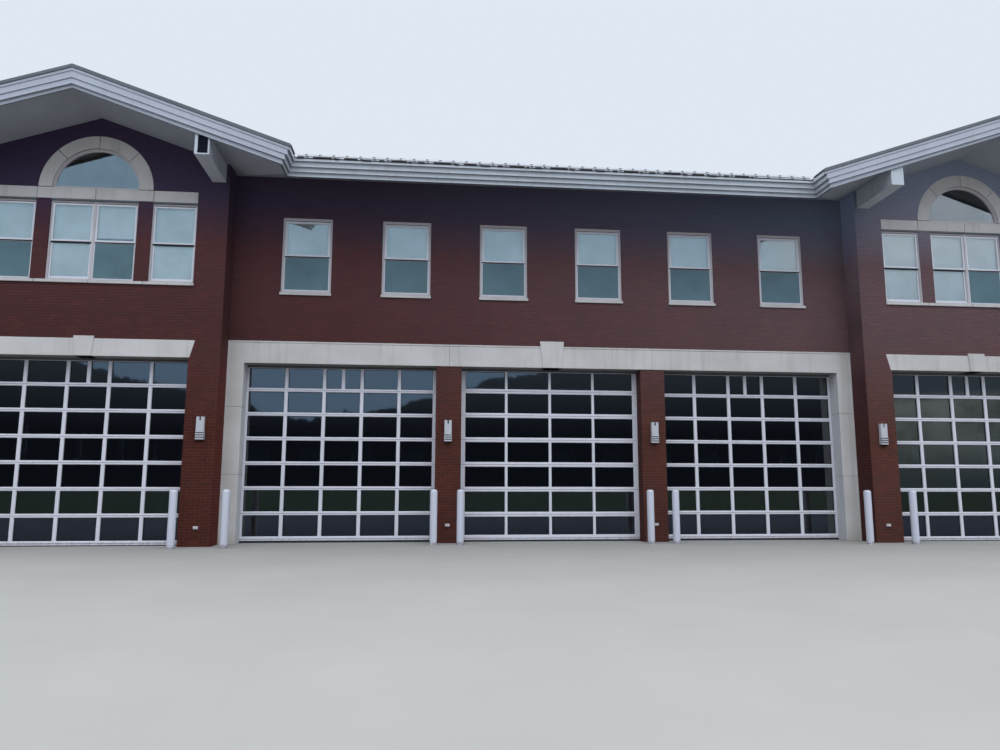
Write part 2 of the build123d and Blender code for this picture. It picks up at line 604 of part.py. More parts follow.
def make_back_door():
    half = BACK_DOOR_W / 2
    back = DEPTH - WIN_SETBACK
    frame = block((-half - FRAME_W, half + FRAME_W), (back - 100, back), (0, BACK_DOOR_H + FRAME_W))
    frame -= block((-half, half), (back - 101, back + 1), (-1, BACK_DOOR_H))
    leaf = block((-half, half), (back - 60, back - 15), (10, BACK_DOOR_H))
    save("back_door_frame", frame)
    save("back_door_leaf", leaf)


# Fittings on the front

def make_fittings():
    bollard = Cylinder(BOLLARD_R, BOLLARD_H, align=(Align.CENTER, Align.CENTER, Align.MIN))
    bollard = fillet(bollard.edges().group_by(Axis.Z)[-1], BOLLARD_R * 0.6)
    right = spread(bollard, [(x, y, 0) for x, y in BOLLARDS])
    save("bollards", *right, *[mirrored(shape) for shape in right])

    light = block((-LIGHT_W / 2, LIGHT_W / 2), (-LIGHT_D, 0), (0, LIGHT_H))
    light = fillet(light.edges().filter_by(Axis.Z).group_by(Axis.Y)[0], 20)
    outlet = block((-OUTLET_W / 2, OUTLET_W / 2), (-OUTLET_D, 0), (0, OUTLET_H))
    pier_face = 10.0
    light_x, light_z = WING_LIGHT
    lights = spread(light, [(PIER_LIGHT[0], pier_face, PIER_LIGHT[1]), (light_x, -PROJECTION, light_z),
                            (2 * WING_X - light_x, -PROJECTION, light_z)])
    outlets = spread(outlet, [(PIER_X, pier_face, OUTLET_Z), (WING_OUTLET_X, -PROJECTION, OUTLET_Z),
                              (2 * WING_X - WING_OUTLET_X, -PROJECTION, OUTLET_Z)])
    save("wall_lights", *lights, *[mirrored(shape) for shape in lights])
    save("outlet_boxes", *outlets, *[mirrored(shape) for shape in outlets])


make_floors()
make_centre_front()
make_wings()
make_other_walls()
make_windows()
make_vehicle_doors()
make_back_door()
make_roof()
make_ridge_caps()
make_fascias()
make_soffits()
make_brackets()
make_fittings()
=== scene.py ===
"""Looks of a two-storey brick fire station, laid out as a Blender add-on and run as a script.

Metres, +Z up, the street front facing -Y. Left and right are seen from the street. Each operator makes
one piece, or one group of like pieces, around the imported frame.
"""
import math
from contextlib import contextmanager

import bmesh
import bpy
from mathutils import Matrix, Vector


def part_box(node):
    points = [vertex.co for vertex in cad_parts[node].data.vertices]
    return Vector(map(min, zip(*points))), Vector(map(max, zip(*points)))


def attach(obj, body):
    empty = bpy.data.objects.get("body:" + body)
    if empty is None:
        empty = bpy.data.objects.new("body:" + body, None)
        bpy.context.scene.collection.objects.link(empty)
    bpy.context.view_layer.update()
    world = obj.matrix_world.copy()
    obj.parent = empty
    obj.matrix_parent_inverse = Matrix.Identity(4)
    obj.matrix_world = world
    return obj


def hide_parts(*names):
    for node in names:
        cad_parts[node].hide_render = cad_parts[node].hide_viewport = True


bl_info = {
    "name": "Fire Station Building",
    "version": (1, 0, 0),
    "blender": (4, 5, 0),
    "location": "View3D > Sidebar > Station",
    "description": "Builds the brickwork, roof, windows, doors and fittings of a fire station",
    "category": "Object",
}

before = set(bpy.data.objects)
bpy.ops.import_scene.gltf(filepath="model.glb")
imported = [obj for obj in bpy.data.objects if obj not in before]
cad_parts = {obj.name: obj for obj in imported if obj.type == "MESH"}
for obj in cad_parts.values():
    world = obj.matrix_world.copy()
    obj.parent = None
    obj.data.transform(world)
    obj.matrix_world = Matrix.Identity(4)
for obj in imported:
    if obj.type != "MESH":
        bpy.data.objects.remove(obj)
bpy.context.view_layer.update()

# Wall planes and plan, read from the frame
FRONT_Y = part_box("centre_front_wall")[0].y
WING_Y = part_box("right_wing_front_wall")[0].y
BACK_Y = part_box("back_wall")[1].y
HALF_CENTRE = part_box("centre_front_wall")[1].x
HALF_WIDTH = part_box("right_side_wall")[1].x
WING_X = (HALF_CENTRE + HALF_WIDTH) / 2
HALF_WING = (HALF_WIDTH - HALF_CENTRE) / 2
DEPTH = BACK_Y - FRONT_Y
WALL_T = 0.381

# Heights, most of them in brick courses, of which three make 8 inches
COURSE = 0.2032 / 3
DOOR_HEAD = 63 * COURSE
LINTEL_TOP = 69 * COURSE
SURROUND_TOP = 71 * COURSE
SILL_FOOT = 88 * COURSE
WIN_HEAD = 7.935
BAND_FOOT = 7.975
BAND_TOP = 8.25
LOW_WIN_FOOT = 30 * COURSE
SILL_H = 0.08
WIN_FOOT = SILL_FOOT + SILL_H
WIN_H = WIN_HEAD - WIN_FOOT
BRICK_TOP = 9.0

# Openings of the front
PIER_X = 2.567
PIER_W = 0.61
PIER_BACK = 0.01
JAMB_W = 0.394
WING_DOOR_HALF = 2.32
WIN_W = 1.21
WIN_PITCH = 2.443
WIN_SETBACK = 0.03
PAIR_HALF = 0.975
SINGLE_IN = 1.298
SINGLE_OUT = 2.322
ARCH_R = 0.985
ARCH_RING = 0.305
BAND_HALF = 2.322
FRONT_WINDOWS = [(k - 2.5) * WIN_PITCH for k in range(6)]
BACK_WINDOWS = [(k - 4.5) * WIN_PITCH for k in range(10)]
BACK_LOW_WINDOWS = [x for x in BACK_WINDOWS if abs(x) > WIN_PITCH]
SIDE_WINDOWS = [FRONT_Y + DEPTH / 2 + (k - 2) * 3.25 for k in range(5)]

# Roof
SLOPE = 0.342
PITCH = math.atan(SLOPE)
DECK_TOP = 9.36285
TILE_REACH = 1.7
RAKE_Y = WING_Y - 1.613

# Camera fitted to the photograph
CAMERA_AT = (-3.1247, FRONT_Y - 18.1638, 1.4537)
CAMERA_YAW, CAMERA_PITCH, CAMERA_ROLL = 0.0997, 0.1425, 0.0022
FOCAL_PIXELS = 743.76
PICTURE_WIDTH = 1000
SENSOR = 36.0

BODY = "root"


class StationSizes(bpy.types.PropertyGroup):
    """Sizes of what repeats on the building."""

    brick_length: bpy.props.FloatProperty(
        name="Brick length", description="Length of a brick with its joint", default=0.2032, unit="LENGTH")
    joint: bpy.props.FloatProperty(
        name="Joint", description="Width of a mortar joint", default=0.010, unit="LENGTH")
    brick_proud: bpy.props.FloatProperty(
        name="Brick face", description="How far brick faces stand before the mortar", default=0.006,
        unit="LENGTH")
    tile_width: bpy.props.FloatProperty(
        name="Tile width", description="Width that one roof tile covers", default=0.305, unit="LENGTH")
    tile_course: bpy.props.FloatProperty(
        name="Tile course", description="Length of a roof tile that shows", default=0.35, unit="LENGTH")
    cap_course: bpy.props.FloatProperty(
        name="Cap course", description="Length of a ridge cap that shows", default=0.30, unit="LENGTH")
    stone_edge: bpy.props.FloatProperty(
        name="Stone edge", description="Bevel on the edges of the stones", default=0.005, unit="LENGTH")
    door_bead: bpy.props.FloatProperty(
        name="Door bead", description="Sloping bead round the lights of the vehicle doors", default=0.012,
        unit="LENGTH")
    meeting_rail: bpy.props.FloatProperty(
        name="Meeting rail", description="Height of the rails where two sashes meet", default=0.042,
        unit="LENGTH")
    bollard_radius: bpy.props.FloatProperty(
        name="Bollard radius", description="Radius of the bollards", default=0.084, unit="LENGTH")
    bollard_height: bpy.props.FloatProperty(
        name="Bollard height", description="Height of the bollards", default=1.27, unit="LENGTH")


def colour_property(name, description, default):
    return bpy.props.FloatVectorProperty(name=name, description=description, default=default,
                                         subtype="COLOR", size=3, min=0.0, max=1.0)


class StationColours(bpy.types.PropertyGroup):
    """Main colours of the finishes."""

    brick_dark: colour_property("Dark brick", "Darkest bricks", (0.048, 0.0105, 0.0075))
    brick_red: colour_property("Red brick", "Most of the bricks", (0.072, 0.0112, 0.0075))
    brick_light: colour_property("Light brick", "Lightest bricks", (0.094, 0.018, 0.011))
    mortar: colour_property("Mortar", "Joints of the brickwork", (0.145, 0.064, 0.050))
    stone: colour_property("Stone", "Cast stone dressings", (0.59, 0.575, 0.56))
    tile: colour_property("Tile", "Roof tiles", (0.085, 0.088, 0.095))
    fascia: colour_property("Fascia", "Painted fascia boards", (0.52, 0.57, 0.625))
    soffit: colour_property("Soffit", "Painted soffits", (0.36, 0.39, 0.44))
    window: colour_property("Window frames", "Painted window frames", (0.56, 0.53, 0.55))
    sash: colour_property("Sashes", "Painted window sashes", (0.70, 0.72, 0.78))
    door: colour_property("Vehicle doors", "Painted door sections", (0.64, 0.64, 0.70))
    bollard: colour_property("Bollards", "Painted bollards", (0.53, 0.55, 0.63))
    blind: colour_property("Blinds", "Fabric of the window blinds", (0.37, 0.42, 0.41))
    back_door: colour_property("Back door", "Paint of the back door", (0.22, 0.07, 0.055))


# Modelling by hand

SMOOTH_ANGLE = 35


def activate(obj):
    bpy.ops.object.select_all(action="DESELECT")
    obj.select_set(True)
    bpy.context.view_layer.objects.active = obj


@contextmanager
def editing(obj, mode="FACE"):
    """Edit mode on one object with nothing selected."""
    activate(obj)
    bpy.ops.object.mode_set(mode="EDIT")
    bpy.ops.mesh.select_mode(type=mode)
    bpy.ops.mesh.select_all(action="DESELECT")
    yield
    bpy.ops.object.mode_set(mode="OBJECT")


def pick(obj, kind, test):
    """Select the faces, edges or verts of the edited mesh that pass a test."""
    mesh = bmesh.from_edit_mesh(obj.data)
    for part in getattr(mesh, kind):
        if test(part):
            part.select_set(True)
    mesh.select_flush_mode()
    bmesh.update_edit_mesh(obj.data)


def settle(obj):
    """Put an object's place into its mesh."""
    activate(obj)
    bpy.ops.object.transform_apply(location=True, rotation=True, scale=True)
    return obj


def block(name, low, high):
    """Box between two corners."""
    bpy.ops.object.select_all(action="DESELECT")
    centre = [(a + b) / 2 for a, b in zip(low, high)]
    size = [b - a for a, b in zip(low, high)]
    bpy.ops.mesh.primitive_cube_add(size=1, location=centre, scale=size)
    obj = bpy.context.object
    obj.name = name
    return settle(obj)


def sheet(name, low, high, front):
    """Upright rectangle facing -Y, between two (x, z) corners."""
    bpy.ops.object.select_all(action="DESELECT")
    centre = ((low[0] + high[0]) / 2, front, (low[1] + high[1]) / 2)
    size = (high[0] - low[0], high[1] - low[1], 1)
    bpy.ops.mesh.primitive_plane_add(size=1, location=centre, rotation=(math.pi / 2, 0, 0))
    obj = bpy.context.object
    obj.scale = size
    obj.name = name
    return settle(obj)


def extrude(move):
    bpy.ops.mesh.extrude_region_move(TRANSFORM_OT_translate={"value": move})


def face_outwards(obj):
    with editing(obj):
        bpy.ops.mesh.select_all(action="SELECT")
        bpy.ops.mesh.normals_make_consistent(inside=False)
    return obj


def slide(obj, test, move):
    """Move the points that pass a test."""
    with editing(obj, "VERT"):
        pick(obj, "verts", lambda vert: test(vert.co))
        bpy.ops.transform.translate(value=move)


def split(obj, point, normal):
    """Cut an edge line round the mesh and keep both sides."""
    with editing(obj):
        bpy.ops.mesh.select_all(action="SELECT")
        bpy.ops.mesh.bisect(plane_co=point, plane_no=normal)


def trim(obj, point, normal):
    """Cut the mesh by a plane, drop the side that the normal points to and close the cut."""
    with editing(obj):
        bpy.ops.mesh.select_all(action="SELECT")
        bpy.ops.mesh.bisect(plane_co=point, plane_no=normal, use_fill=True, clear_outer=True,
                            threshold=0.00001)


def modify(obj, kind, **settings):
    """Add a modifier with these settings and apply it."""
    activate(obj)
    modifier = obj.modifiers.new(kind.title(), kind)
    for name, value in settings.items():
        setattr(modifier, name, value)
    bpy.ops.object.modifier_apply(modifier=modifier.name)
    return obj


def repeat(obj, count, step, merge=False):
    return modify(obj, "ARRAY", count=count, use_relative_offset=False, use_constant_offset=True,
                  constant_offset_displace=step, use_merge_vertices=merge, merge_threshold=0.0001)


def soften(obj, width, segments=1, angle=40):
    """Bevel the sharp edges."""
    return modify(obj, "BEVEL", width=width, segments=segments, limit_method="ANGLE",
                  angle_limit=math.radians(angle), use_clamp_overlap=True)


def smooth(obj, angle=SMOOTH_ANGLE):
    activate(obj)
    bpy.ops.object.shade_smooth_by_angle(angle=math.radians(angle))
    return obj


def join(name, pieces):
    pieces = list(pieces)
    activate(pieces[0])
    for piece in pieces[1:]:
        piece.select_set(True)
    if len(pieces) > 1:
        bpy.ops.object.join()
    pieces[0].name = name
    return pieces[0]


def copy(obj, place=(0, 0, 0), turn=0.0):
    """Copy with its own mesh, turned about the vertical and then moved."""
    twin = obj.copy()
    twin.data = obj.data.copy()
    bpy.context.scene.collection.objects.link(twin)
    twin.data.transform(Matrix.Translation(place) @ Matrix.Rotation(turn, 4, "Z"))
    return twin


def copies(obj, places):
    """Copies at each place. The model itself becomes the last one."""
    made = [copy(obj, place) for place in places[:-1]]
    obj.data.transform(Matrix.Translation(places[-1]))
    return made + [obj]


def mirrored(obj):
    """Copy on the other side of the building's middle."""
    twin = copy(obj)
    twin.data.transform(Matrix.Scale(-1, 4, (1, 0, 0)))
    return face_outwards(twin)


def from_node(name, node):
    """Merged copy of a CAD node, ready for modelling."""
    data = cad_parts[node].data.copy()
    obj = bpy.data.objects.new(name, data)
    bpy.context.scene.collection.objects.link(obj)
    with editing(obj):
        bpy.ops.mesh.select_all(action="SELECT")
        bpy.ops.mesh.remove_doubles(threshold=0.00002)
        bpy.ops.mesh.dissolve_limited(angle_limit=math.radians(0.5))
    return obj


def ring(name, half, low, high, face, front, depth, foot=None, head=None):
    """Rectangular frame facing -Y, with its own widths at the foot and the head."""
    obj = sheet(name, (-half, low), (half, high), front)
    with editing(obj):
        bpy.ops.mesh.select_all(action="SELECT")
        bpy.ops.mesh.inset(thickness=face)
        bpy.ops.mesh.delete(type="FACE")
    for width, level, way in ((foot, low, 1), (head, high, -1)):
        if width is not None:
            edge = level + way * face
            slide(obj, lambda co: abs(co.z - edge) < 0.001 and abs(co.x) < half - face / 2,
                  (0, 0, way * (width - face)))
    with editing(obj):
        bpy.ops.mesh.select_all(action="SELECT")
        extrude((0, depth, 0))
    return face_outwards(obj)


def arc(name, inner, outer, front, depth, start, end, steps):
    """Part of an upright ring round the origin, angles from +X over +Z in degrees."""
    bpy.ops.object.select_all(action="DESELECT")
    centre = ((inner + outer) / 2, front + depth / 2, 0)
    bpy.ops.mesh.primitive_plane_add(size=1, location=centre)
    obj = bpy.context.object
    obj.name = name
    obj.scale = (outer - inner, depth, 1)
    settle(obj)
    obj.data.transform(Matrix.Rotation(-math.radians(start), 4, "Y"))
    with editing(obj):
        bpy.ops.mesh.select_all(action="SELECT")
        bpy.ops.mesh.spin(steps=steps, angle=math.radians(end - start), center=(0, 0, 0), axis=(0, 1, 0))
    return face_outwards(obj)


def deliver(obj, finish, slot, *nodes):
    """Give a piece its material and body, and let it stand for its CAD nodes. Its slot is not used."""
    obj.data.materials.clear()
    obj.data.materials.append(finish)
    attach(obj, BODY)
    if nodes:
        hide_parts(*nodes)
    return obj


def unite(name, parts, finish, slot, *nodes, angle=None):
    """Join like parts into one finished piece, shaded smooth where an angle is given."""
    piece = join(name, parts)
    if angle is not None:
        smooth(piece, angle)
    return deliver(piece, finish_of(finish), slot, *nodes)


def dress(finish, *nodes):
    """Give CAD nodes that keep their shape a finished material."""
    for name in nodes:
        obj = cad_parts[name]
        if not obj.material_slots:
            obj.data.materials.append(finish)
        for entry in obj.material_slots:
            entry.material = finish


# Materials

class Nodes:
    """Node tree, with short ways to add what the finishes and the sky share."""

    def __init__(self, tree, coordinate):
        self.tree = tree
        self.coords = self.add("ShaderNodeTexCoord")
        self.place = self.coords.outputs[coordinate]

    def add(self, kind, inputs=None, **settings):
        node = self.tree.nodes.new(kind)
        node.location = (-220 * (len(self.tree.nodes) % 9), -180 * (len(self.tree.nodes) // 9))
        for name, value in settings.items():
            setattr(node, name, value)
        for socket, value in (inputs or {}).items():
            self.feed(node.inputs[socket], value)
        return node

    def feed(self, socket, value):
        if isinstance(value, bpy.types.NodeSocket):
            self.tree.links.new(value, socket)
        else:
            socket.default_value = value

    def stretched(self, scale):
        return self.add("ShaderNodeMapping", {"Vector": self.place, "Scale": scale}).outputs[0]

    def noise(self, scale, detail=3.0, rough=0.55, vector=None):
        inputs = {"Vector": vector or self.place, "Scale": scale, "Detail": detail, "Roughness": rough}
        return self.add("ShaderNodeTexNoise", inputs).outputs[0]

    def maths(self, operation, first, second=0.0):
        return self.add("ShaderNodeMath", {0: first, 1: second}, operation=operation).outputs[0]

    def spread(self, value, low, high, to_low=0.0, to_high=1.0):
        """Value between low and high, spread over another range and held there."""
        inputs = {0: value, 1: low, 2: high, 3: to_low, 4: to_high}
        return self.add("ShaderNodeMapRange", inputs).outputs[0]

    def ramp(self, value, stops):
        node = self.add("ShaderNodeValToRGB", {0: value})
        elements = node.color_ramp.elements
        while len(elements) < len(stops):
            elements.new(0.5)
        for element, (position, colour) in zip(elements, stops):
            element.position = position
            element.color = (*colour, 1)
        return node.outputs[0]

    def mix(self, factor, first, second, blend="MIX"):
        node = self.add("ShaderNodeMix", data_type="RGBA", blend_type=blend)
        self.feed(node.inputs[0], factor)
        for socket, value in ((node.inputs[6], first), (node.inputs[7], second)):
            self.feed(socket, value if isinstance(value, bpy.types.NodeSocket) else (*value, 1))
        return node.outputs[2]

    def axes(self):
        return self.add("ShaderNodeSeparateXYZ", {0: self.place}).outputs

    def height(self):
        return self.axes()[2]


class Paint(Nodes):
    """Nodes of one material."""

    def __init__(self, name, roughness=0.6, **sockets):
        self.material = bpy.data.materials.new(name)
        self.material.use_nodes = True
        super().__init__(self.material.node_tree, "Object")
        self.shader = self.tree.nodes["Principled BSDF"]
        self.set("Roughness", roughness)
        for socket, value in sockets.items():
            self.set(socket.replace("_", " ").title().replace("Ior", "IOR"), value)

    def set(self, socket, value):
        self.feed(self.shader.inputs[socket], value)

    def facing(self):
        return self.add("ShaderNodeSeparateXYZ", {0: self.coords.outputs["Normal"]}).outputs

    def bump(self, height, strength, distance, under=None):
        inputs = {"Height": height, "Strength": strength, "Distance": distance}
        if under is not None:
            inputs["Normal"] = under
        return self.add("ShaderNodeBump", inputs).outputs[0]


def darker(colour, share):
    return tuple(value * share for value in colour)


# Colours over the brick: pale dust with painted sheen, streaks, painted shade under the eaves, and its
# heights
DUST_AND_SHEEN = (0.40, 0.27, 0.29)
STREAK = (0.30, 0.22, 0.20)
EAVE_SHADE_LEFT = (0.042, 0.050, 0.135)
EAVE_SHADE_MIDDLE = (0.135, 0.165, 0.235)
# At the right the film under the eaves turns into a painted haze of light
EAVE_HAZE_RIGHT = (0.28, 0.28, 0.36)
EAVE_SHADE_FOOT = 7.0
EAVE_SHADE_HEAD = 8.3
EAVE_SHADE_HEAD_RIGHT = 9.3
# Painted light and shade that multiply the brick: low on the walls, higher up at the left and the right
LIT_TINT_LOW = (0.97, 0.86, 0.68)
SHADE_TINT_LEFT = (0.80, 0.65, 0.66)
HAZE_TINT_RIGHT = (1.0, 1.18, 1.22)
# Painted light and shade, wings' short returns: heights where it starts and is full, left tint, right tint
RETURN_LIGHT_AND_SHADE = (((4.8, 4.0), (1.65, 1.25, 1.25), (0.75, 0.62, 0.75)),
                ((5.5, 7.0), (1.0, 1.0, 1.0), (1.7, 1.9, 2.1)))


def brick_finish(colours, sizes):
    """Running bond that turns the corners: along X on the fronts, along Y on the sides."""
    paint = Paint("Brick", roughness=0.88, specular_ior_level=0.2)
    x, y, z = paint.axes()
    facing = paint.facing()
    sideways = paint.maths("GREATER_THAN", paint.maths("ABSOLUTE", facing[0]), 0.7)
    along = paint.add("ShaderNodeMix", {0: sideways, 2: x, 3: y})
    wall = paint.add("ShaderNodeCombineXYZ", {0: along.outputs[0], 1: z})
    bond = paint.add("ShaderNodeTexBrick", {
        "Vector": wall.outputs[0], "Color1": (0, 0, 0, 1), "Color2": (1, 1, 1, 1),
        "Mortar": (0.5, 0.5, 0.5, 1), "Scale": 1.0, "Mortar Size": sizes.joint / 2, "Mortar Smooth": 0.15,
        "Brick Width": sizes.brick_length, "Row Height": COURSE}, offset=0.5, offset_frequency=2)
    tint, joint = bond.outputs[0], bond.outputs[1]
    grain = paint.noise(60, 5, 0.7)
    patches = paint.noise(0.55, 4)
    streaks = paint.noise(1.0, 4, vector=paint.stretched((2.6, 2.6, 0.25)))
    clay = paint.ramp(tint, [(0.0, colours.brick_dark), (0.3, darker(colours.brick_red, 0.8)),
                             (0.75, colours.brick_red), (1.0, colours.brick_light)])
    clay = paint.mix(paint.spread(grain, 0.35, 0.7, 0.0, 0.55), clay, darker(colours.brick_dark, 0.8))
    mortar = paint.mix(paint.spread(grain, 0.3, 0.8), colours.mortar, darker(colours.mortar, 0.62))
    stained = paint.spread(paint.maths("ADD", z, paint.maths("MULTIPLY", patches, 3.0)), 5.2, 8.2)
    mortar = paint.mix(stained, mortar, darker(colours.brick_red, 0.9))
    surface = paint.mix(joint, clay, mortar)
    worn = paint.spread(patches, 0.35, 0.7, 0.0, 0.15)
    surface = paint.mix(worn, surface, darker(colours.brick_dark, 1.3), "MULTIPLY")
    surface = paint.mix(paint.spread(streaks, 0.45, 0.8, 0.0, 0.35), surface, STREAK, "SOFT_LIGHT")
    paint.set("Base Color", dust_and_painted_light(paint, surface, (x, y, z), facing[0]))
    paint.set("Roughness", paint.spread(grain, 0.3, 0.7, 0.8, 0.95))
    relief = paint.bump(joint, 0.6, -0.004)
    paint.set("Normal", paint.bump(grain, 0.35, 0.002, relief))
    return paint.material


def dust_and_painted_light(paint, surface, place, side):
    """Brick with dust, painted sheen, painted shade under the eaves, and painted light and shade over the
    fronts.
    """
    x, y, z = place
    # A pale wash, partly dust and partly painted sheen, growing to the right and upwards
    dust_and_sheen_share = paint.maths("ADD", paint.spread(x, -12.0, 10.0, 0.02, 0.10), paint.spread(z, 2.5, 6.5, 0.0, 0.14))
    surface = paint.mix(dust_and_sheen_share, surface, DUST_AND_SHEEN)

    # Painted shade under the eaves, blue-black at the left and middle, and a painted haze at the right
    eave_shade = paint.mix(paint.spread(x, -12.0, 7.0), EAVE_SHADE_LEFT, EAVE_SHADE_MIDDLE)
    right = paint.spread(x, 7.5, 8.5)
    eave_shade = paint.mix(right, eave_shade, EAVE_HAZE_RIGHT)
    film = paint.add("ShaderNodeMix", {0: right, 2: paint.spread(z, EAVE_SHADE_FOOT, EAVE_SHADE_HEAD, 0.0, 0.7),
                                       3: paint.spread(z, EAVE_SHADE_FOOT, EAVE_SHADE_HEAD_RIGHT, 0.0, 0.85)})
    at_front = paint.spread(y, FRONT_Y + 0.5, FRONT_Y + 4.0, 1.0, 0.3)
    surface = paint.mix(paint.maths("MULTIPLY", film.outputs[0], at_front), surface, eave_shade)

    # Painted light and shade over the fronts: warmer low down, darker upper left, paler upper right
    tint = paint.mix(paint.spread(x, -5.0, 6.0), SHADE_TINT_LEFT, HAZE_TINT_RIGHT)
    tint = paint.mix(paint.spread(z, 2.5, 5.0), LIT_TINT_LOW, tint)
    surface = paint.mix(1.0, surface, tint, "MULTIPLY")
    # Painted light and shade on the wings' short returns
    inward = paint.spread(paint.maths("MULTIPLY", x, side), -4.0, -2.0, 1.0, 0.0)
    for levels, left_painted_light, right_painted_light in RETURN_LIGHT_AND_SHADE:
        share = paint.maths("MULTIPLY", inward, paint.spread(z, *levels))
        tint = paint.mix(paint.spread(x, -1.0, 1.0), left_painted_light, right_painted_light)
        surface = paint.mix(share, surface, tint, "MULTIPLY")
    return surface


# Colours on the stone: water streaks, the ground's splash zone, painted light on ends, painted shade on
# undersides
WATER_STREAK = (0.30, 0.28, 0.25)
SPLASH = (0.33, 0.28, 0.22)
SPLASH_HEIGHT = 0.35
SIDE_STONE_LIGHT = (0.60, 0.62, 0.66)
UNDER_STONE_SHADE = (0.12, 0.10, 0.09)


def stone_finish(colours):
    """Cast stone with water streaks under its edges."""
    paint = Paint("Dressed stone", roughness=0.8)
    grit = paint.noise(140, 4, 0.7)
    cloud = paint.noise(1.3, 5)
    runs = paint.noise(1.0, 5, 0.6, paint.stretched((5.5, 5.5, 0.35)))
    base = paint.mix(paint.spread(cloud, 0.35, 0.65), colours.stone, darker(colours.stone, 0.86))
    base = paint.mix(paint.spread(runs, 0.54, 0.70, 0.0, 0.35), base, WATER_STREAK)
    base = paint.mix(paint.spread(grit, 0.35, 0.65, 0.0, 0.25), base, darker(colours.stone, 0.6))
    low = paint.spread(paint.height(), 0.0, SPLASH_HEIGHT, 0.5, 0.0)
    base = paint.mix(low, base, SPLASH)
    facing = paint.facing()
    # Painted light: the stone's ends are paler and bluer
    sideways = paint.spread(paint.maths("ABSOLUTE", facing[0]), 0.7, 0.9, 0.0, 0.5)
    base = paint.mix(sideways, base, SIDE_STONE_LIGHT)
    # Painted shade on the undersides
    base = paint.mix(paint.spread(facing[2], -0.9, -0.6, 0.6, 0.0), base, UNDER_STONE_SHADE)
    paint.set("Base Color", base)
    paint.set("Roughness", paint.spread(cloud, 0.3, 0.7, 0.7, 0.9))
    paint.set("Normal", paint.bump(grit, 0.3, 0.001))
    return paint.material


# Colours that lie over the paint: dust in runs, rust near the ground and painted shade on the undersides
RUNS = (0.32, 0.32, 0.30)
RUST = (0.10, 0.045, 0.025)
RUST_HEIGHT = (0.02, 0.24)
UNDERSIDE_SHADE = (0.035, 0.040, 0.058)
# An underside is all painted shade below the first height, and has its finish's share above the second
UNDERSIDE_SHADE_HEIGHT = (8.40, 8.44)
BRUSHED = (3, 3, 40)


def painted_finish(name, colour, roughness, dirt, chips=0.0, underside_shade=0.0):
    """Paint with brushed grain, dust in soft patches and, low down, rust and chips."""
    paint = Paint(name, roughness=roughness)
    dust = paint.noise(0.9, 5, 0.6)
    runs = paint.noise(1.0, 4, 0.6, paint.stretched((7, 7, 0.5)))
    fine = paint.noise(30, 3, 0.6, paint.stretched(BRUSHED))
    base = paint.mix(paint.spread(dust, 0.35, 0.7, 0.0, dirt), colour, darker(colour, 0.72))
    base = paint.mix(paint.spread(runs, 0.5, 0.75, 0.0, dirt), base, RUNS)
    if chips:
        flecks = paint.noise(14, 5, 0.7)
        low = paint.spread(paint.height(), *RUST_HEIGHT, 1.0, 0.0)
        rust = paint.spread(paint.maths("MULTIPLY", flecks, low), 0.36, 0.46, 0.0, chips)
        base = paint.mix(rust, base, RUST)
    # Painted shade on the faces that look down
    if underside_shade:
        under = paint.maths("MULTIPLY", paint.spread(paint.facing()[2], -0.9, -0.6, 1.0, 0.0),
                            paint.spread(paint.height(), *UNDERSIDE_SHADE_HEIGHT, 1.0, underside_shade))
        base = paint.mix(under, base, UNDERSIDE_SHADE)
    paint.set("Base Color", base)
    paint.set("Roughness", paint.spread(dust, 0.3, 0.7, roughness - 0.08, roughness + 0.12))
    paint.set("Normal", paint.bump(fine, 0.12, 0.001))
    return paint.material


def glass_finish(name, tint, ior, roughness, waviness, clear=False):
    """Pane with a slight wave, so that reflections bend a little. A clear one lets light into the rooms."""
    paint = Paint(name, roughness=roughness, ior=ior)
    paint.set("Transmission Weight", 1.0)
    film = paint.noise(1.6, 4)
    paint.set("Base Color", paint.mix(paint.spread(film, 0.3, 0.7), tint, darker(tint, 0.82)))
    paint.set("Normal", paint.bump(paint.noise(0.8, 2), waviness, 0.01))
    if clear:
        path = paint.add("ShaderNodeLightPath").outputs
        lit = paint.maths("MAXIMUM", path["Is Shadow Ray"], path["Is Diffuse Ray"])
        paint.set("Alpha", paint.maths("SUBTRACT", 1.0, lit))
    return paint.material


def plain_finish(name, colour, roughness, spot_scale=40, spot=0.2, metal=0.0):
    """Matt surface with fine spots and soft patches."""
    paint = Paint(name, roughness=roughness, metallic=metal)
    spots = paint.noise(spot_scale, 5, 0.65)
    cloud = paint.noise(1.5, 4)
    base = paint.mix(paint.spread(cloud, 0.35, 0.7), colour, darker(colour, 0.8))
    base = paint.mix(paint.spread(spots, 0.4, 0.75, 0.0, spot), base, darker(colour, 0.4))
    paint.set("Base Color", base)
    paint.set("Roughness", paint.spread(spots, 0.3, 0.7, roughness - 0.06, roughness + 0.06))
    paint.set("Normal", paint.bump(spots, 0.25, 0.002))
    return paint.material


# Colours over the tiles; butts of the lowest course, paler and with a painted highlight, end between two
# heights
MOSS = (0.075, 0.085, 0.06)
GRIT = (0.20, 0.20, 0.19)
PALE_LIT_BUTT = (0.80, 0.83, 0.88)
BUTT_HEIGHT = (8.90, 8.92)


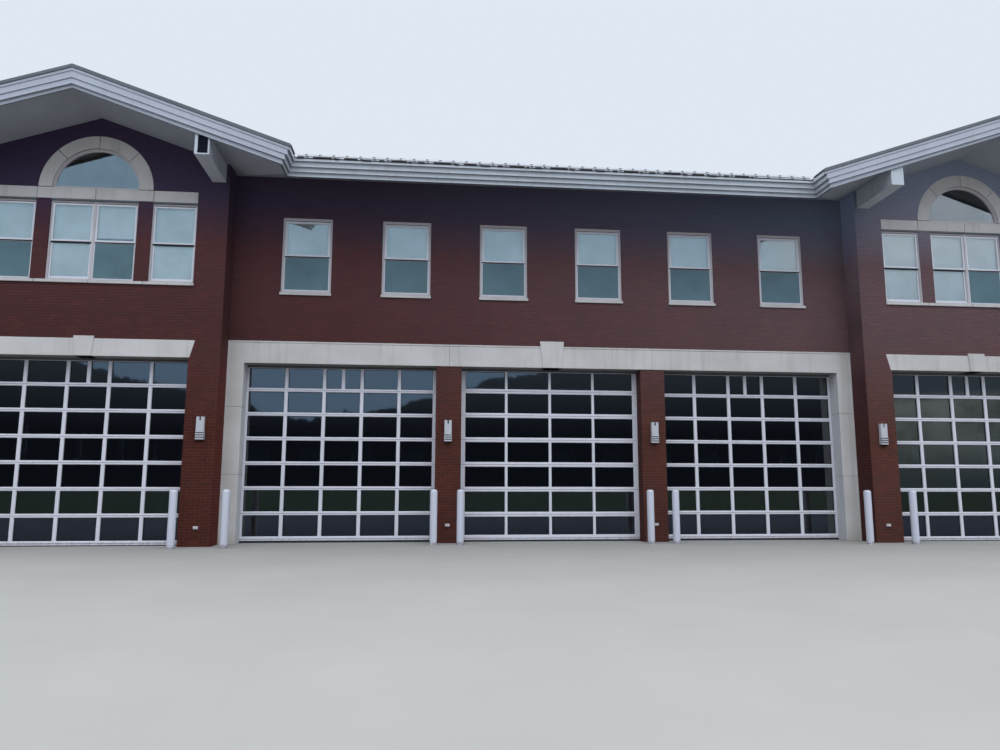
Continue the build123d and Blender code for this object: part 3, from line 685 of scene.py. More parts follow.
def tile_finish(colours):
    """Concrete roof tiles, each course and each tile a little different."""
    paint = Paint("Roof tile", roughness=0.85)
    grit = paint.noise(90, 4, 0.7)
    cloud = paint.noise(0.7, 5)
    cells = paint.add("ShaderNodeTexVoronoi", {"Vector": paint.place, "Scale": 2.4, "Randomness": 1.0})
    tones = [(0.2, darker(colours.tile, 0.75)), (0.8, darker(colours.tile, 1.25))]
    base = paint.mix(paint.spread(cloud, 0.4, 0.7, 0.0, 0.5), paint.ramp(cells.outputs[1], tones), MOSS)
    base = paint.mix(paint.spread(grit, 0.45, 0.75, 0.0, 0.4), base, GRIT)
    # Butts of the lowest course: partly a paler edge, partly a painted highlight
    upward = paint.facing()[2]
    butt = paint.maths("MULTIPLY", paint.spread(upward, 0.2, 0.5, 1.0, 0.0), paint.spread(upward, -0.9, -0.8))
    eave = paint.maths("MULTIPLY", butt, paint.spread(paint.height(), *BUTT_HEIGHT, 1.0, 0.0))
    base = paint.mix(eave, base, PALE_LIT_BUTT)
    paint.set("Base Color", base)
    paint.set("Normal", paint.bump(grit, 0.4, 0.002))
    return paint.material


def fabric_finish(colours):
    """Woven roller blind."""
    paint = Paint("Blind fabric", roughness=0.9)
    weave = paint.add("ShaderNodeTexWave", {"Vector": paint.place, "Scale": 60.0, "Distortion": 0.3},
                      bands_direction="Z")
    fold = paint.noise(1.2, 3)
    base = paint.mix(paint.spread(fold, 0.3, 0.7), colours.blind, darker(colours.blind, 0.85))
    base = paint.mix(paint.spread(weave.outputs[1], 0.0, 1.0, 0.0, 0.15), base, darker(colours.blind, 0.6))
    paint.set("Base Color", base)
    paint.set("Normal", paint.bump(weave.outputs[1], 0.2, 0.001))
    return paint.material


FINISHES = {}


def finish_of(name):
    """The material of that name, made when first asked for."""
    if not FINISHES:
        scene = bpy.context.scene
        colours, sizes = scene.station_colours, scene.station_sizes
        FINISHES.update({
            "brick": brick_finish(colours, sizes),
            "stone": stone_finish(colours),
            "tile": tile_finish(colours),
            "fascia": painted_finish("Painted fascia", tuple(colours.fascia), 0.5, 0.3, underside_shade=0.55),
            # The gable fascia is a darker copy of the fascia paint: painted shade
            "shaded_gable_fascia": painted_finish("Painted gable fascia", (0.43, 0.46, 0.53), 0.5, 0.3, underside_shade=0.5),
            "soffit": painted_finish("Painted soffit", tuple(colours.soffit), 0.65, 0.35),
            "trim": painted_finish("Painted trim", tuple(colours.fascia), 0.5, 0.3),
            "window": painted_finish("Window paint", tuple(colours.window), 0.45, 0.25),
            "sash": painted_finish("Sash paint", tuple(colours.sash), 0.42, 0.2),
            "door": painted_finish("Door paint", tuple(colours.door), 0.38, 0.2, chips=0.3),
            "bollard": painted_finish("Bollard paint", tuple(colours.bollard), 0.42, 0.2, chips=0.5),
            "back_door": painted_finish("Back door paint", tuple(colours.back_door), 0.4, 0.2),
            "clear_glass": glass_finish("Window glass", (0.84, 0.90, 0.93), 1.9, 0.02, 0.03, clear=True),
            "door_glass": glass_finish("Door glass", (0.20, 0.24, 0.26), 2.1, 0.02, 0.03),
            "blind": fabric_finish(colours),
            "rubber": plain_finish("Seal rubber", (0.018, 0.018, 0.02), 0.8, 60, 0.4),
            # The vent's near-black paint is painted shade for the inside of the beam end
            "vent": plain_finish("Dark vent paint", (0.030, 0.036, 0.060), 0.45, 40, 0.3),
            # Flap fabric: partly a seal, partly painted shade under the door heads
            "flap": plain_finish("Seal fabric", (0.10, 0.11, 0.12), 0.7, 60, 0.3),
            "metal": plain_finish("Grey metal", (0.52, 0.54, 0.55), 0.45, 70, 0.15),
            "light_body": painted_finish("Light housing", (0.48, 0.49, 0.53), 0.4, 0.25),
            "flashing": plain_finish("Flashing metal", (0.12, 0.13, 0.15), 0.5, 50, 0.2),
            "concrete": plain_finish("Concrete", (0.40, 0.39, 0.37), 0.85, 25, 0.3),
            "boarding": plain_finish("Roof boarding", (0.20, 0.15, 0.10), 0.8, 20, 0.4),
            "screen": plain_finish("Insect screen", (0.160, 0.285, 0.335), 0.7, 300, 0.3),
        })
        FINISHES["screen"].node_tree.nodes["Principled BSDF"].inputs["Alpha"].default_value = 0.6
    return FINISHES[name]


# Brickwork

def brick_field(sizes, low, high, foot, head):
    """Running bond facing -Y at y = 0, between two places along the wall and two heights."""
    length, gap, proud = sizes.brick_length, sizes.joint / 2, sizes.brick_proud
    first = math.floor(foot / COURSE + 0.001)
    rows = math.ceil(head / COURSE - 0.001) - first
    start = math.floor(low / length) - 1
    count = math.ceil(high / length) - start + 1
    pair = []
    for row in (first, first + 1)[:min(rows, 2)]:
        centre = start * length + (length / 2 if row % 2 else 0)
        brick = block("Brick", (centre - length / 2 + gap, -proud, row * COURSE + gap),
                      (centre + length / 2 - gap, 0.002, (row + 1) * COURSE - gap))
        with editing(brick):
            pick(brick, "faces", lambda face: face.normal.y < -0.9)
            middle = (centre, -proud, (row + 0.5) * COURSE)
            bpy.ops.transform.resize(value=(0.97, 1, 0.92), center_override=middle)
        pair.append(brick)
    field = join("Bricks", pair)
    repeat(field, count, (length, 0, 0))
    if rows > 2:
        repeat(field, math.ceil(rows / 2), (0, 0, 2 * COURSE))
    trim(field, (low, 0, 0), (-1, 0, 0))
    trim(field, (high, 0, 0), (1, 0, 0))
    if foot > first * COURSE + 0.001:
        trim(field, (0, 0, foot), (0, 0, -1))
    if head < (first + 2 * math.ceil(rows / 2)) * COURSE - 0.001:
        trim(field, (0, 0, head), (0, 0, 1))
    return field


def brick_wall(sizes, low, high, foot, head, openings=()):
    """Fields of bricks round rectangular openings, each (low, high, foot, head)."""
    levels = sorted({foot, head, *[z for item in openings for z in item[2:] if foot < z < head]})
    fields = []
    for bottom, top in zip(levels, levels[1:]):
        middle = (bottom + top) / 2
        holes = sorted(item[:2] for item in openings if item[2] < middle < item[3])
        edges = [low, *[x for hole in holes for x in hole], high]
        for left, right in zip(edges[::2], edges[1::2]):
            if right - left > 0.01:
                fields.append(brick_field(sizes, left, right, bottom, top))
    return join("Bricks", fields)


def reveals(sizes, left, right, foot, head, front, back):
    """Bricks on the two sides of an opening, between two depths of the finished wall."""
    near = brick_field(sizes, front, back, foot, head)
    stand(near, (left, 0, 0), math.pi / 2)
    far = brick_field(sizes, -back, -front, foot, head)
    stand(far, (right, 0, 0), -math.pi / 2)
    return [near, far]


def stand(wall, place, turn):
    """Turn a wall that faces -Y about the vertical and move it to its place."""
    wall.data.transform(Matrix.Translation(place) @ Matrix.Rotation(turn, 4, "Z"))
    return wall


def window_holes(places, levels):
    return [(x - WIN_W / 2, x + WIN_W / 2, foot, foot + WIN_H) for x in places for foot in levels]


class STATION_OT_brickwork(bpy.types.Operator):
    """Lay the bricks of every wall and finish the walls behind them"""

    bl_idname = "station.brickwork"
    bl_label = "Brickwork"

    def execute(self, context):
        sizes = context.scene.station_sizes
        brick = finish_of("brick")
        dress(brick, "centre_front_wall", "left_wing_front_wall", "right_wing_front_wall", "left_side_wall",
              "right_side_wall", "back_wall", "centre_brick_piers")
        holes = window_holes(FRONT_WINDOWS, [WIN_FOOT])
        wall = brick_wall(sizes, -HALF_CENTRE, HALF_CENTRE, SURROUND_TOP, BRICK_TOP, holes)
        wall.name = "centre_bricks"
        deliver(stand(wall, (0, FRONT_Y, 0), 0), brick, "brick")

        low, high = PIER_X - PIER_W / 2, PIER_X + PIER_W / 2
        pier = stand(brick_field(sizes, low, high, 0, DOOR_HEAD), (0, FRONT_Y + PIER_BACK, 0), 0)
        sides = reveals(sizes, high, low, 0, DOOR_HEAD, FRONT_Y + PIER_BACK, FRONT_Y + WALL_T)
        pier = join("Pier", [pier, *sides])
        deliver(join("pier_bricks", [pier, mirrored(pier)]), brick, "brick")

        for side, name in ((-1, "left"), (1, "right")):
            deliver(self.wing(sizes, side, f"{name}_wing_bricks"), brick, "brick")
            self.side_wall(sizes, side, f"{name}_side_bricks", brick)
        self.back_wall(sizes, brick)
        return {"FINISHED"}

    def wing(self, sizes, side, name):
        middle = side * WING_X
        low, high = middle - HALF_WING, middle + HALF_WING
        door = (middle - WING_DOOR_HALF, middle + WING_DOOR_HALF, 0, DOOR_HEAD)
        lights = [(middle - PAIR_HALF, middle + PAIR_HALF, WIN_FOOT, WIN_HEAD)]
        for way in (-1, 1):
            edges = sorted((middle + way * SINGLE_IN, middle + way * SINGLE_OUT))
            lights.append((*edges, WIN_FOOT, WIN_HEAD))
        band = (middle - BAND_HALF, middle + BAND_HALF, WIN_HEAD, BAND_TOP)
        fields = [brick_wall(sizes, low, high, 0, BAND_TOP, [door, band, *lights])]

        gable = brick_field(sizes, low, high, BAND_TOP, BRICK_TOP + SLOPE * HALF_WING + 0.06)
        with editing(gable):
            pick(gable, "faces", lambda face: in_arch(face.calc_center_median(), middle, sizes.brick_length))
            bpy.ops.mesh.delete(type="FACE")
        for way in (-1, 1):
            trim(gable, (middle + way * HALF_WING, 0, BRICK_TOP), (way * SLOPE, 0, 1))
        wall = join("Wing", [*fields, gable])
        stand(wall, (0, WING_Y, 0), 0)
        wall = join("Wing", [wall, *reveals(sizes, *door, WING_Y, WING_Y + WALL_T)])
        span = (WING_Y, FRONT_Y) if side < 0 else (-FRONT_Y, -WING_Y)
        turned = brick_field(sizes, *span, 0, BRICK_TOP)
        stand(turned, (side * HALF_CENTRE, 0, 0), -side * math.pi / 2)
        return join(name, [wall, turned])

    def side_wall(self, sizes, side, name, brick):
        holes = window_holes(SIDE_WINDOWS, [LOW_WIN_FOOT, WIN_FOOT])
        if side < 0:
            holes = [(-right, -left, foot, head) for left, right, foot, head in holes]
        span = (WING_Y, BACK_Y) if side > 0 else (-BACK_Y, -WING_Y)
        wall = brick_wall(sizes, *span, 0, BRICK_TOP, holes)
        wall.name = name
        deliver(stand(wall, (side * HALF_WIDTH, 0, 0), side * math.pi / 2), brick, "brick")

    def back_wall(self, sizes, brick):
        holes = window_holes(BACK_WINDOWS, [WIN_FOOT]) + window_holes(BACK_LOW_WINDOWS, [LOW_WIN_FOOT])
        half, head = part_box("back_door_frame")[1].x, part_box("back_door_frame")[1].z
        door = (-half, half, 0, head)
        wall = brick_wall(sizes, -HALF_WIDTH, HALF_WIDTH, 0, BRICK_TOP, [*holes, door])
        wall.name = "back_bricks"
        deliver(stand(wall, (0, BACK_Y, 0), math.pi), brick, "brick")


def in_arch(point, middle, length):
    """True for a brick of the gable whose cell centre is inside the arch's stones."""
    row = math.floor(point.z / COURSE)
    shift = length / 2 if row % 2 else 0
    cell = math.floor((point.x - shift) / length + 0.5) * length + shift
    return math.hypot(cell - middle, (row + 0.5) * COURSE - BAND_TOP) < ARCH_R + ARCH_RING / 2


# Stone

STONE_FACE = 0.012
STONE_BACK = 0.16
STONE_JOINT = 0.006
# The centre surround: joints of the jambs, width of its raised margin and how far that stands out
JAMB_JOINTS = (1.61, 3.21)
MARGIN_W = 0.04
MARGIN_FACE = 0.012
# Keystones: face, then half width at the foot, rise over the lintel and splay of each kind
KEY_FACE = 0.036
CENTRE_KEY = (0.229, 0.127, 0.076)
WING_KEY = (0.19, 0.055, 0.035)


def stone(low, high, foot, head, face=STONE_FACE, back=STONE_BACK, splay=0.0):
    """Stone block facing -Y at y = 0, its ends leaning out by a splay at the head."""
    obj = block("Stone", (low, -face, foot), (high, back, head))
    if splay:
        for edge, way in ((low, -1), (high, 1)):
            slide(obj, lambda co: abs(co.x - edge) < 0.001 and co.z > head - 0.001, (way * splay, 0, 0))
    return obj


def keystone(design, lintel_top):
    half, rise, splay = design
    return stone(-half, half, DOOR_HEAD, lintel_top + rise, face=KEY_FACE, back=WALL_T, splay=splay)


class STATION_OT_stonework(bpy.types.Operator):
    """Set the stone surround, lintels, bands, arches and sills"""

    bl_idname = "station.stonework"
    bl_label = "Stonework"

    def execute(self, context):
        edge = context.scene.station_sizes.stone_edge
        stone_look = finish_of("stone")
        surround = self.surround()
        soften(surround, edge)
        stand(surround, (0, FRONT_Y, 0), 0)
        deliver(surround, stone_look, "dressed_stone", "centre_stone_jambs", "centre_stone_lintel")

        lintel = self.wing_lintel()
        gap = STONE_JOINT
        ends = (-BAND_HALF - gap, -1.305, 0, 1.31, BAND_HALF + gap)
        band = join("Band", [stone(low + gap, high - gap, BAND_FOOT, BAND_TOP - gap)
                             for low, high in zip(ends, ends[1:])])
        turn = math.degrees(gap / (ARCH_R + ARCH_RING / 2))
        arch = join("Arch", [arc("Stone", ARCH_R, ARCH_R + ARCH_RING, -STONE_FACE, STONE_FACE + STONE_BACK,
                                 start + turn, start + 45 - turn, 8) for start in (0, 45, 90, 135)])
        stand(arch, (0, 0, BAND_TOP), 0)
        for obj, name, node in ((lintel, "wing_lintel_stones", "wing_stone_lintels"),
                                (band, "wing_band_stones", "wing_stone_bands"),
                                (arch, "wing_arch_stones", "wing_stone_arches")):
            soften(obj, edge)
            pair = copies(obj, [(-WING_X, WING_Y, 0), (WING_X, WING_Y, 0)])
            deliver(join(name, pair), stone_look, "dressed_stone", node)
        self.sills(edge, stone_look)
        return {"FINISHED"}

    def surround(self):
        """Jambs in three stones, an L-shaped one at each corner, lintel stones and the keystone."""
        inner = HALF_CENTRE - JAMB_W
        low_joint, high_joint = JAMB_JOINTS
        gap = 0.002
        stones = []
        for foot, head in ((0.0, low_joint - gap), (low_joint + gap, high_joint - gap)):
            stones.append(stone(inner, HALF_CENTRE, foot, head, back=WALL_T))
        corner = stone(inner, HALF_CENTRE, high_joint + gap, SURROUND_TOP, back=WALL_T)
        split(corner, (0, 0, DOOR_HEAD), (0, 0, 1))
        with editing(corner):
            pick(corner, "faces",
                 lambda face: face.normal.x < -0.9 and face.calc_center_median().z > DOOR_HEAD)
            extrude((PIER_X + gap - inner, 0, 0))
        stones.append(corner)
        jambs = stones + [mirrored(obj) for obj in stones]
        key = keystone(CENTRE_KEY, SURROUND_TOP)
        middle = [stone(-PIER_X + gap, 0, DOOR_HEAD, SURROUND_TOP, back=WALL_T),
                  stone(0, PIER_X - gap, DOOR_HEAD, SURROUND_TOP, back=WALL_T)]
        body = join("Surround", jambs + middle)
        for point, normal in (((HALF_CENTRE - MARGIN_W, 0, 0), (1, 0, 0)),
                              ((MARGIN_W - HALF_CENTRE, 0, 0), (1, 0, 0)),
                              ((0, 0, SURROUND_TOP - MARGIN_W), (0, 0, 1))):
            split(body, point, normal)
        with editing(body):
            pick(body, "faces", lambda face: face.normal.y < -0.9 and (
                abs(face.calc_center_median().x) > HALF_CENTRE - MARGIN_W
                or face.calc_center_median().z > SURROUND_TOP - MARGIN_W))
            extrude((0, -MARGIN_FACE, 0))
        return join("centre_surround_stones", [body, key])

    def wing_lintel(self):
        half, splay = 2.341, 0.106
        left = stone(-half, 0, DOOR_HEAD, LINTEL_TOP, back=WALL_T)
        slide(left, lambda co: co.x < -half + 0.001 and co.z > LINTEL_TOP - 0.001, (-splay, 0, 0))
        return join("Lintel", [left, mirrored(left), keystone(WING_KEY, LINTEL_TOP)])

    def sills(self, edge, stone_look):
        def sill(half, cuts=()):
            obj = block("Sill", (-half, -0.05, 0), (half, 0.15, SILL_H))
            slide(obj, lambda co: co.y < 0 and co.z > SILL_H / 2, (0, 0, -0.012))
            parts = []
            edges = [-half, *cuts, half]
            for low, high in zip(edges, edges[1:]):
                part = copy(obj)
                left_gap = STONE_JOINT if low > -half else 0
                right_gap = STONE_JOINT if high < half else 0
                slide(part, lambda co: co.x < 0, (low + half + left_gap, 0, 0))
                slide(part, lambda co: co.x > 0.9 * half, (high - half - right_gap, 0, 0))
                parts.append(part)
            bpy.data.objects.remove(obj)
            return soften(join("Sill", parts), edge)

        single = sill(WIN_W / 2 + 0.015)
        wide = sill(BAND_HALF + 0.018, (-1.2, 0.0, 1.2))
        low_foot = LOW_WIN_FOOT - SILL_H
        front = [copy(single, (x, FRONT_Y, SILL_FOOT)) for x in FRONT_WINDOWS]
        front += copies(wide, [(-WING_X, WING_Y, SILL_FOOT), (WING_X, WING_Y, SILL_FOOT)])
        deliver(join("front_sills", front), stone_look, "dressed_stone", "front_stone_sills")
        others = []
        for foot in (SILL_FOOT, low_foot):
            for y in SIDE_WINDOWS:
                others.append(copy(single, (HALF_WIDTH, y, foot), math.pi / 2))
                others.append(copy(single, (-HALF_WIDTH, y, foot), -math.pi / 2))
            for x in BACK_WINDOWS if foot == SILL_FOOT else BACK_LOW_WINDOWS:
                others.append(copy(single, (x, BACK_Y, foot), math.pi))
        bpy.data.objects.remove(single)
        deliver(join("other_sills", others), stone_look, "dressed_stone", "side_and_back_sills")


# Windows

FRAME_D = 0.09
SASH_D = 0.030
FRAME_LAP = 0.002
HEAD_GAP = 0.016
RAIL_GAP = 0.034
# Face widths of the frame and of the sashes, by window width
LARGE_FACES = (0.060, 0.058)
SMALL_FACES = (0.036, 0.040)


def faces_of(width):
    return LARGE_FACES if width == WIN_W else SMALL_FACES


def window_frame(width, height):
    """Stepped frame of a double-hung window facing -Y at y = 0, its foot at z = 0."""
    frame_w = faces_of(width)[0]
    half, step = width / 2, frame_w * 0.55
    parts = [
        ring("Frame", half, 0, height, step, 0.0, FRAME_D),
        ring("Step", half - step + FRAME_LAP, step - FRAME_LAP, height - step + FRAME_LAP,
             frame_w - step + FRAME_LAP, 0.012, 0.07),
        block("Foot", (-half, -0.010, 0), (half, 0.02, 0.024)),
    ]
    return soften(join("Window", parts), 0.003)


def window_sashes(sizes, width, height, screened):
    """The two sashes and, on a screened window, the thin frame of its screen."""
    frame_w, sash = faces_of(width)
    half, middle, rail = width / 2, height / 2, sizes.meeting_rail
    reach = half - frame_w + FRAME_LAP
    foot = frame_w - 2 * FRAME_LAP
    parts = [
        ring("Upper", reach, middle - rail / 2, height - frame_w - HEAD_GAP, sash, 0.020, SASH_D, foot=rail),
        ring("Lower", reach, foot, middle + rail / 2, sash, 0.050, SASH_D, foot=0.062, head=rail),
    ]
    if screened:
        head = middle - rail / 2 - RAIL_GAP
        parts.append(ring("Screen", reach, foot, head, 0.018, 0.022, 0.010, head=0.004))
    return soften(join("Sashes", parts), 0.0015 if screened else 0.003)


def window_strips(sizes, width, height):
    """Dark strips over the upper sash and under the meeting rails: partly weather strips, partly painted
    shade in the gaps.
    """
    frame_w = faces_of(width)[0]
    inside, meeting = width / 2 - frame_w, height / 2 - sizes.meeting_rail / 2
    head = block("Head", (-inside, 0.030, height - frame_w - HEAD_GAP - 0.004),
                 (inside, 0.05, height - frame_w))
    under = block("Under", (-inside + 0.004, 0.030, meeting - RAIL_GAP), (inside - 0.004, 0.049, meeting))
    return soften(join("Strips", [head, under]), 0.001)


def window_panes(sizes, width, height):
    frame_w, sash = faces_of(width)
    light, rail = width / 2 - frame_w - sash + 0.008, sizes.meeting_rail
    upper = block("Upper", (-light, 0.033, height / 2), (light, 0.039, height - frame_w - sash))
    lower = block("Lower", (-light, 0.063, frame_w + 0.04), (light, 0.069, height / 2 - rail / 2 + 0.008))
    return soften(join("Panes", [upper, lower]), 0.001)


def screen_pane(sizes, width, height):
    frame_w = faces_of(width)[0]
    half = width / 2 - frame_w - 0.012
    head = height / 2 - sizes.meeting_rail / 2 - RAIL_GAP - 0.012
    pane = block("Screen", (-half, 0.0255, frame_w + 0.008), (half, 0.0265, head))
    return soften(pane, 0.0002)


def window_blind(width, full=False, raised=0.0):
    """Roller blind with its cloth, hem bar and roll, behind the upper sash or behind both."""
    frame_w = faces_of(width)[0]
    half = width / 2 - frame_w - 0.004
    foot = raised + (frame_w + 0.02 if full else WIN_H / 2 - 0.01)
    cloth = block("Cloth", (-half, 0.086, foot), (half, 0.088, WIN_H - frame_w - 0.01))
    hem = soften(block("Hem", (-half, 0.083, foot - 0.012), (half, 0.091, foot + 0.014)), 0.003)
    roll = block("Roll", (-half, 0.084, WIN_H - frame_w - 0.05), (half, 0.12, WIN_H - frame_w - 0.008))
    return join("Blind", [cloth, hem, soften(roll, 0.012, 3)])


def window_places():
    """Front windows as (x, y, width): the centre's six, then four of each wing, from left to right."""
    rows = [(x, FRONT_Y + WIN_SETBACK, WIN_W) for x in FRONT_WINDOWS]
    single = (SINGLE_IN + SINGLE_OUT) / 2
    for wing in (-WING_X, WING_X):
        for offset, width in ((-single, SINGLE_OUT - SINGLE_IN), (-PAIR_HALF / 2, PAIR_HALF),
                              (PAIR_HALF / 2, PAIR_HALF), (single, SINGLE_OUT - SINGLE_IN)):
            rows.append((wing + offset, WING_Y + WIN_SETBACK, width))
    return rows


# Units with a full blind and no screen, as window_places gives them; other blinds cover the upper sash only
FULL_BLINDS = {7, 9, 10, 11}
RAISED_BLINDS = {8: 0.11}


class STATION_OT_windows(bpy.types.Operator):
    """Fit the sash windows, arched windows, screens and blinds of the front"""

    bl_idname = "station.windows"
    bl_label = "Front windows"

    def execute(self, context):
        sizes = context.scene.station_sizes
        models, frames, sashes, screens, strips, panes, blinds = {}, [], [], [], [], [], []
        for number, (x, y, width) in enumerate(window_places()):
            screened = number not in FULL_BLINDS
            key = (width, screened)
            if key not in models:
                models[key] = (window_frame(width, WIN_H), window_sashes(sizes, width, WIN_H, screened),
                               window_strips(sizes, width, WIN_H), window_panes(sizes, width, WIN_H),
                               screen_pane(sizes, width, WIN_H))
            place = (x, y, WIN_FOOT)
            for group, model in zip((frames, sashes, strips, panes, screens), models[key]):
                if screened or group is not screens:
                    group.append(copy(model, place))
            blind = window_blind(width, number in FULL_BLINDS, RAISED_BLINDS.get(number, 0.0))
            blinds.append(stand(blind, place, 0))
        for group in models.values():
            for model in group:
                bpy.data.objects.remove(model)
        arch_places = [(-WING_X, WING_Y + WIN_SETBACK, BAND_TOP), (WING_X, WING_Y + WIN_SETBACK, BAND_TOP)]
        frames += copies(self.arched_window(), arch_places)
        panes += copies(self.arched_pane(), arch_places)
        unite("front_windows", frames, "window", "window_white", "front_window_frames", angle=SMOOTH_ANGLE)
        unite("front_sashes", sashes, "sash", "window_white", "front_window_frames", angle=SMOOTH_ANGLE)
        unite("front_panes", panes, "clear_glass", "clear_glass", "front_window_glass")
        unite("window_strips", strips, "rubber", "seal_rubber")
        unite("window_screens", screens, "screen", "grey_metal")
        unite("window_blinds", blinds, "blind", "blind_fabric", "centre_window_blinds")
        angles = [block("Angle", (x - width / 2, WING_Y - 0.003, WIN_HEAD),
                        (x + width / 2, WING_Y + 0.04, BAND_FOOT))
                  for x, _, width in window_places() if width != WIN_W]
        deliver(soften(join("steel_lintels", angles), 0.001), finish_of("flashing"), "grey_metal")
        return {"FINISHED"}

    def arched_window(self):
        outer = arc("Frame", ARCH_R - 0.030, ARCH_R, 0, FRAME_D, 0, 180, 32)
        inner = arc("Sash", ARCH_R - 0.055, ARCH_R - 0.026, 0.022, FRAME_D - 0.03, 0, 180, 32)
        foot = block("Foot", (-ARCH_R + 0.01, 0, 0), (ARCH_R - 0.01, FRAME_D, 0.030))
        rail = block("Rail", (-ARCH_R + 0.03, 0.022, 0.026), (ARCH_R - 0.03, FRAME_D - 0.012, 0.052))
        return soften(join("Arch", [outer, inner, foot, rail]), 0.003)

    def arched_pane(self):
        """Half-round pane, cut from a disc of glass."""
        bpy.ops.object.select_all(action="DESELECT")
        bpy.ops.mesh.primitive_cylinder_add(vertices=96, radius=ARCH_R - 0.045, depth=0.006,
                                            location=(0, 0.046, 0), rotation=(math.pi / 2, 0, 0))
        pane = settle(bpy.context.object)
        trim(pane, (0, 0, 0.045), (0, 0, -1))
        return soften(pane, 0.001)


class STATION_OT_other_windows(bpy.types.Operator):
    """Fit the sash windows of the sides and the back"""

    bl_idname = "station.other_windows"
    bl_label = "Side and back windows"

    def execute(self, context):
        sizes = context.scene.station_sizes
        models = (window_frame(WIN_W, WIN_H), window_sashes(sizes, WIN_W, WIN_H, True),
                  window_strips(sizes, WIN_W, WIN_H), window_panes(sizes, WIN_W, WIN_H),
                  screen_pane(sizes, WIN_W, WIN_H), window_blind(WIN_W))
        groups = ([], [], [], [], [], [])
        for foot in (LOW_WIN_FOOT, WIN_FOOT):
            spots = [((side * (HALF_WIDTH - WIN_SETBACK), y, foot), side * math.pi / 2)
                     for side in (-1, 1) for y in SIDE_WINDOWS]
            row = BACK_WINDOWS if foot == WIN_FOOT else BACK_LOW_WINDOWS
            spots += [((x, BACK_Y - WIN_SETBACK, foot), math.pi) for x in row]
            for place, turn in spots:
                for group, model in zip(groups, models):
                    group.append(copy(model, place, turn))
        for model in models:
            bpy.data.objects.remove(model)
        frames, sashes, strips, panes, screens, blinds = groups
        unite("other_windows", frames, "window", "window_white", "side_and_back_frames", angle=SMOOTH_ANGLE)
        unite("other_sashes", sashes, "sash", "window_white", "side_and_back_frames", angle=SMOOTH_ANGLE)
        unite("other_panes", panes, "clear_glass", "clear_glass", "side_and_back_glass")
        unite("other_strips", strips, "rubber", "seal_rubber")
        unite("other_screens", screens, "screen", "grey_metal")
        unite("other_blinds", blinds, "blind", "blind_fabric")
        return {"FINISHED"}


# Vehicle doors

DOOR_T = 0.045
DOOR_LAP = 0.04
DOOR_TOP = 4.252
DOOR_GLASS_TOP = 4.206
DOOR_RAILS = 6
SECTION_GAP = 0.008
GASKET = 0.009
# Half width, foot seal, foot of the lowest light, first rail, rail pitch, rail, bar, stile edges, bars
SIDE_DOOR = (2.306, 0.050, 0.148, 0.690, 0.5962, 0.090, 0.087, (-2.222, 2.256),
             [(k - 1.5) * 0.9155 - 0.014 for k in range(4)])
MIDDLE_DOOR = (2.262, 0.042, 0.160, 0.657, 0.6105, 0.118, 0.068, (-2.138, 2.138), [-1.109, 0.0, 1.109])
WING_DOOR = (2.320, 0.020, 0.112, 0.672, 0.5962, 0.090, 0.087, (-2.235, 2.235),
             [(k - 1.5) * 0.9255 for k in range(4)])


def pick_cells(obj, columns, rows):
    """Select the faces of an upright sheet that lie in one of the columns and one of the rows."""
    def inside(value, spans):
        return any(low < value < high for low, high in spans)

    pick(obj, "faces", lambda face: inside(face.calc_center_median().x, columns)
         and inside(face.calc_center_median().z, rows))


def cut_sheet(name, low, high, columns, rows):
    """Upright sheet with cut lines along the edges of its columns and rows."""
    obj = sheet(name, low, high, 0)
    for x in (x for span in columns for x in span):
        split(obj, (x, 0, 0), (1, 0, 0))
    for z in (z for span in rows for z in span):
        split(obj, (0, 0, z), (0, 0, 1))
    return obj


def sectional_door(sizes, design):
    """Glazed door in sections, with its dark gaskets, facing -Y at y = 0."""
    half, seal, foot, first, pitch, rail, bar, stiles, bars = design
    bead = sizes.door_bead
    rails = [first + k * pitch for k in range(DOOR_RAILS)]
    rows = list(zip([foot] + [z + rail / 2 for z in rails], [z - rail / 2 for z in rails] + [DOOR_GLASS_TOP]))
    columns = list(zip([stiles[0]] + [x + bar / 2 for x in bars], [x - bar / 2 for x in bars] + [stiles[1]]))
    wide_rows = [(low - bead, high + bead) for low, high in rows]
    wide_columns = [(low - bead, high + bead) for low, high in columns]
    gaps = [(z - SECTION_GAP / 2, z + SECTION_GAP / 2) for z in rails] + [(seal + 0.034, seal + 0.044)]

    door = cut_sheet("Door", (-half - DOOR_LAP, seal), (half + DOOR_LAP, DOOR_TOP),
                     wide_columns, wide_rows + gaps)
    with editing(door):
        pick_cells(door, [(-half - 1, half + 1)], gaps)
        bpy.ops.mesh.delete(type="FACE")
        pick_cells(door, wide_columns, wide_rows)
        bpy.ops.mesh.inset(thickness=bead, depth=-bead, use_individual=True)
        bpy.ops.mesh.delete(type="FACE")
        bpy.ops.mesh.select_all(action="SELECT")
        extrude((0, DOOR_T - bead, 0))
    door = face_outwards(door)

    gasket = cut_sheet("Gasket", (-half, seal), (half, DOOR_TOP), columns, rows)
    with editing(gasket):
        pick_cells(gasket, columns, rows)
        bpy.ops.mesh.select_all(action="INVERT")
        bpy.ops.mesh.delete(type="FACE")
        bpy.ops.mesh.select_all(action="SELECT")
        bpy.ops.mesh.inset(thickness=GASKET, use_individual=True)
        bpy.ops.mesh.delete(type="FACE")
        bpy.ops.mesh.select_all(action="SELECT")
        extrude((0, 0.012, 0))
    gasket.data.transform(Matrix.Translation((0, DOOR_T - 0.014, 0)))
    if len(bars) == 4:
        middle = (bars[0] + bars[-1]) / 2
        short_bar = block("Bar", (middle - bar / 2, 0.0005, rows[-1][0] - bead),
                          (middle + bar / 2, DOOR_T - 0.002, DOOR_GLASS_TOP + bead))
        door = join("Door", [door, soften(short_bar, bead * 0.9)])
    return door, face_outwards(gasket)


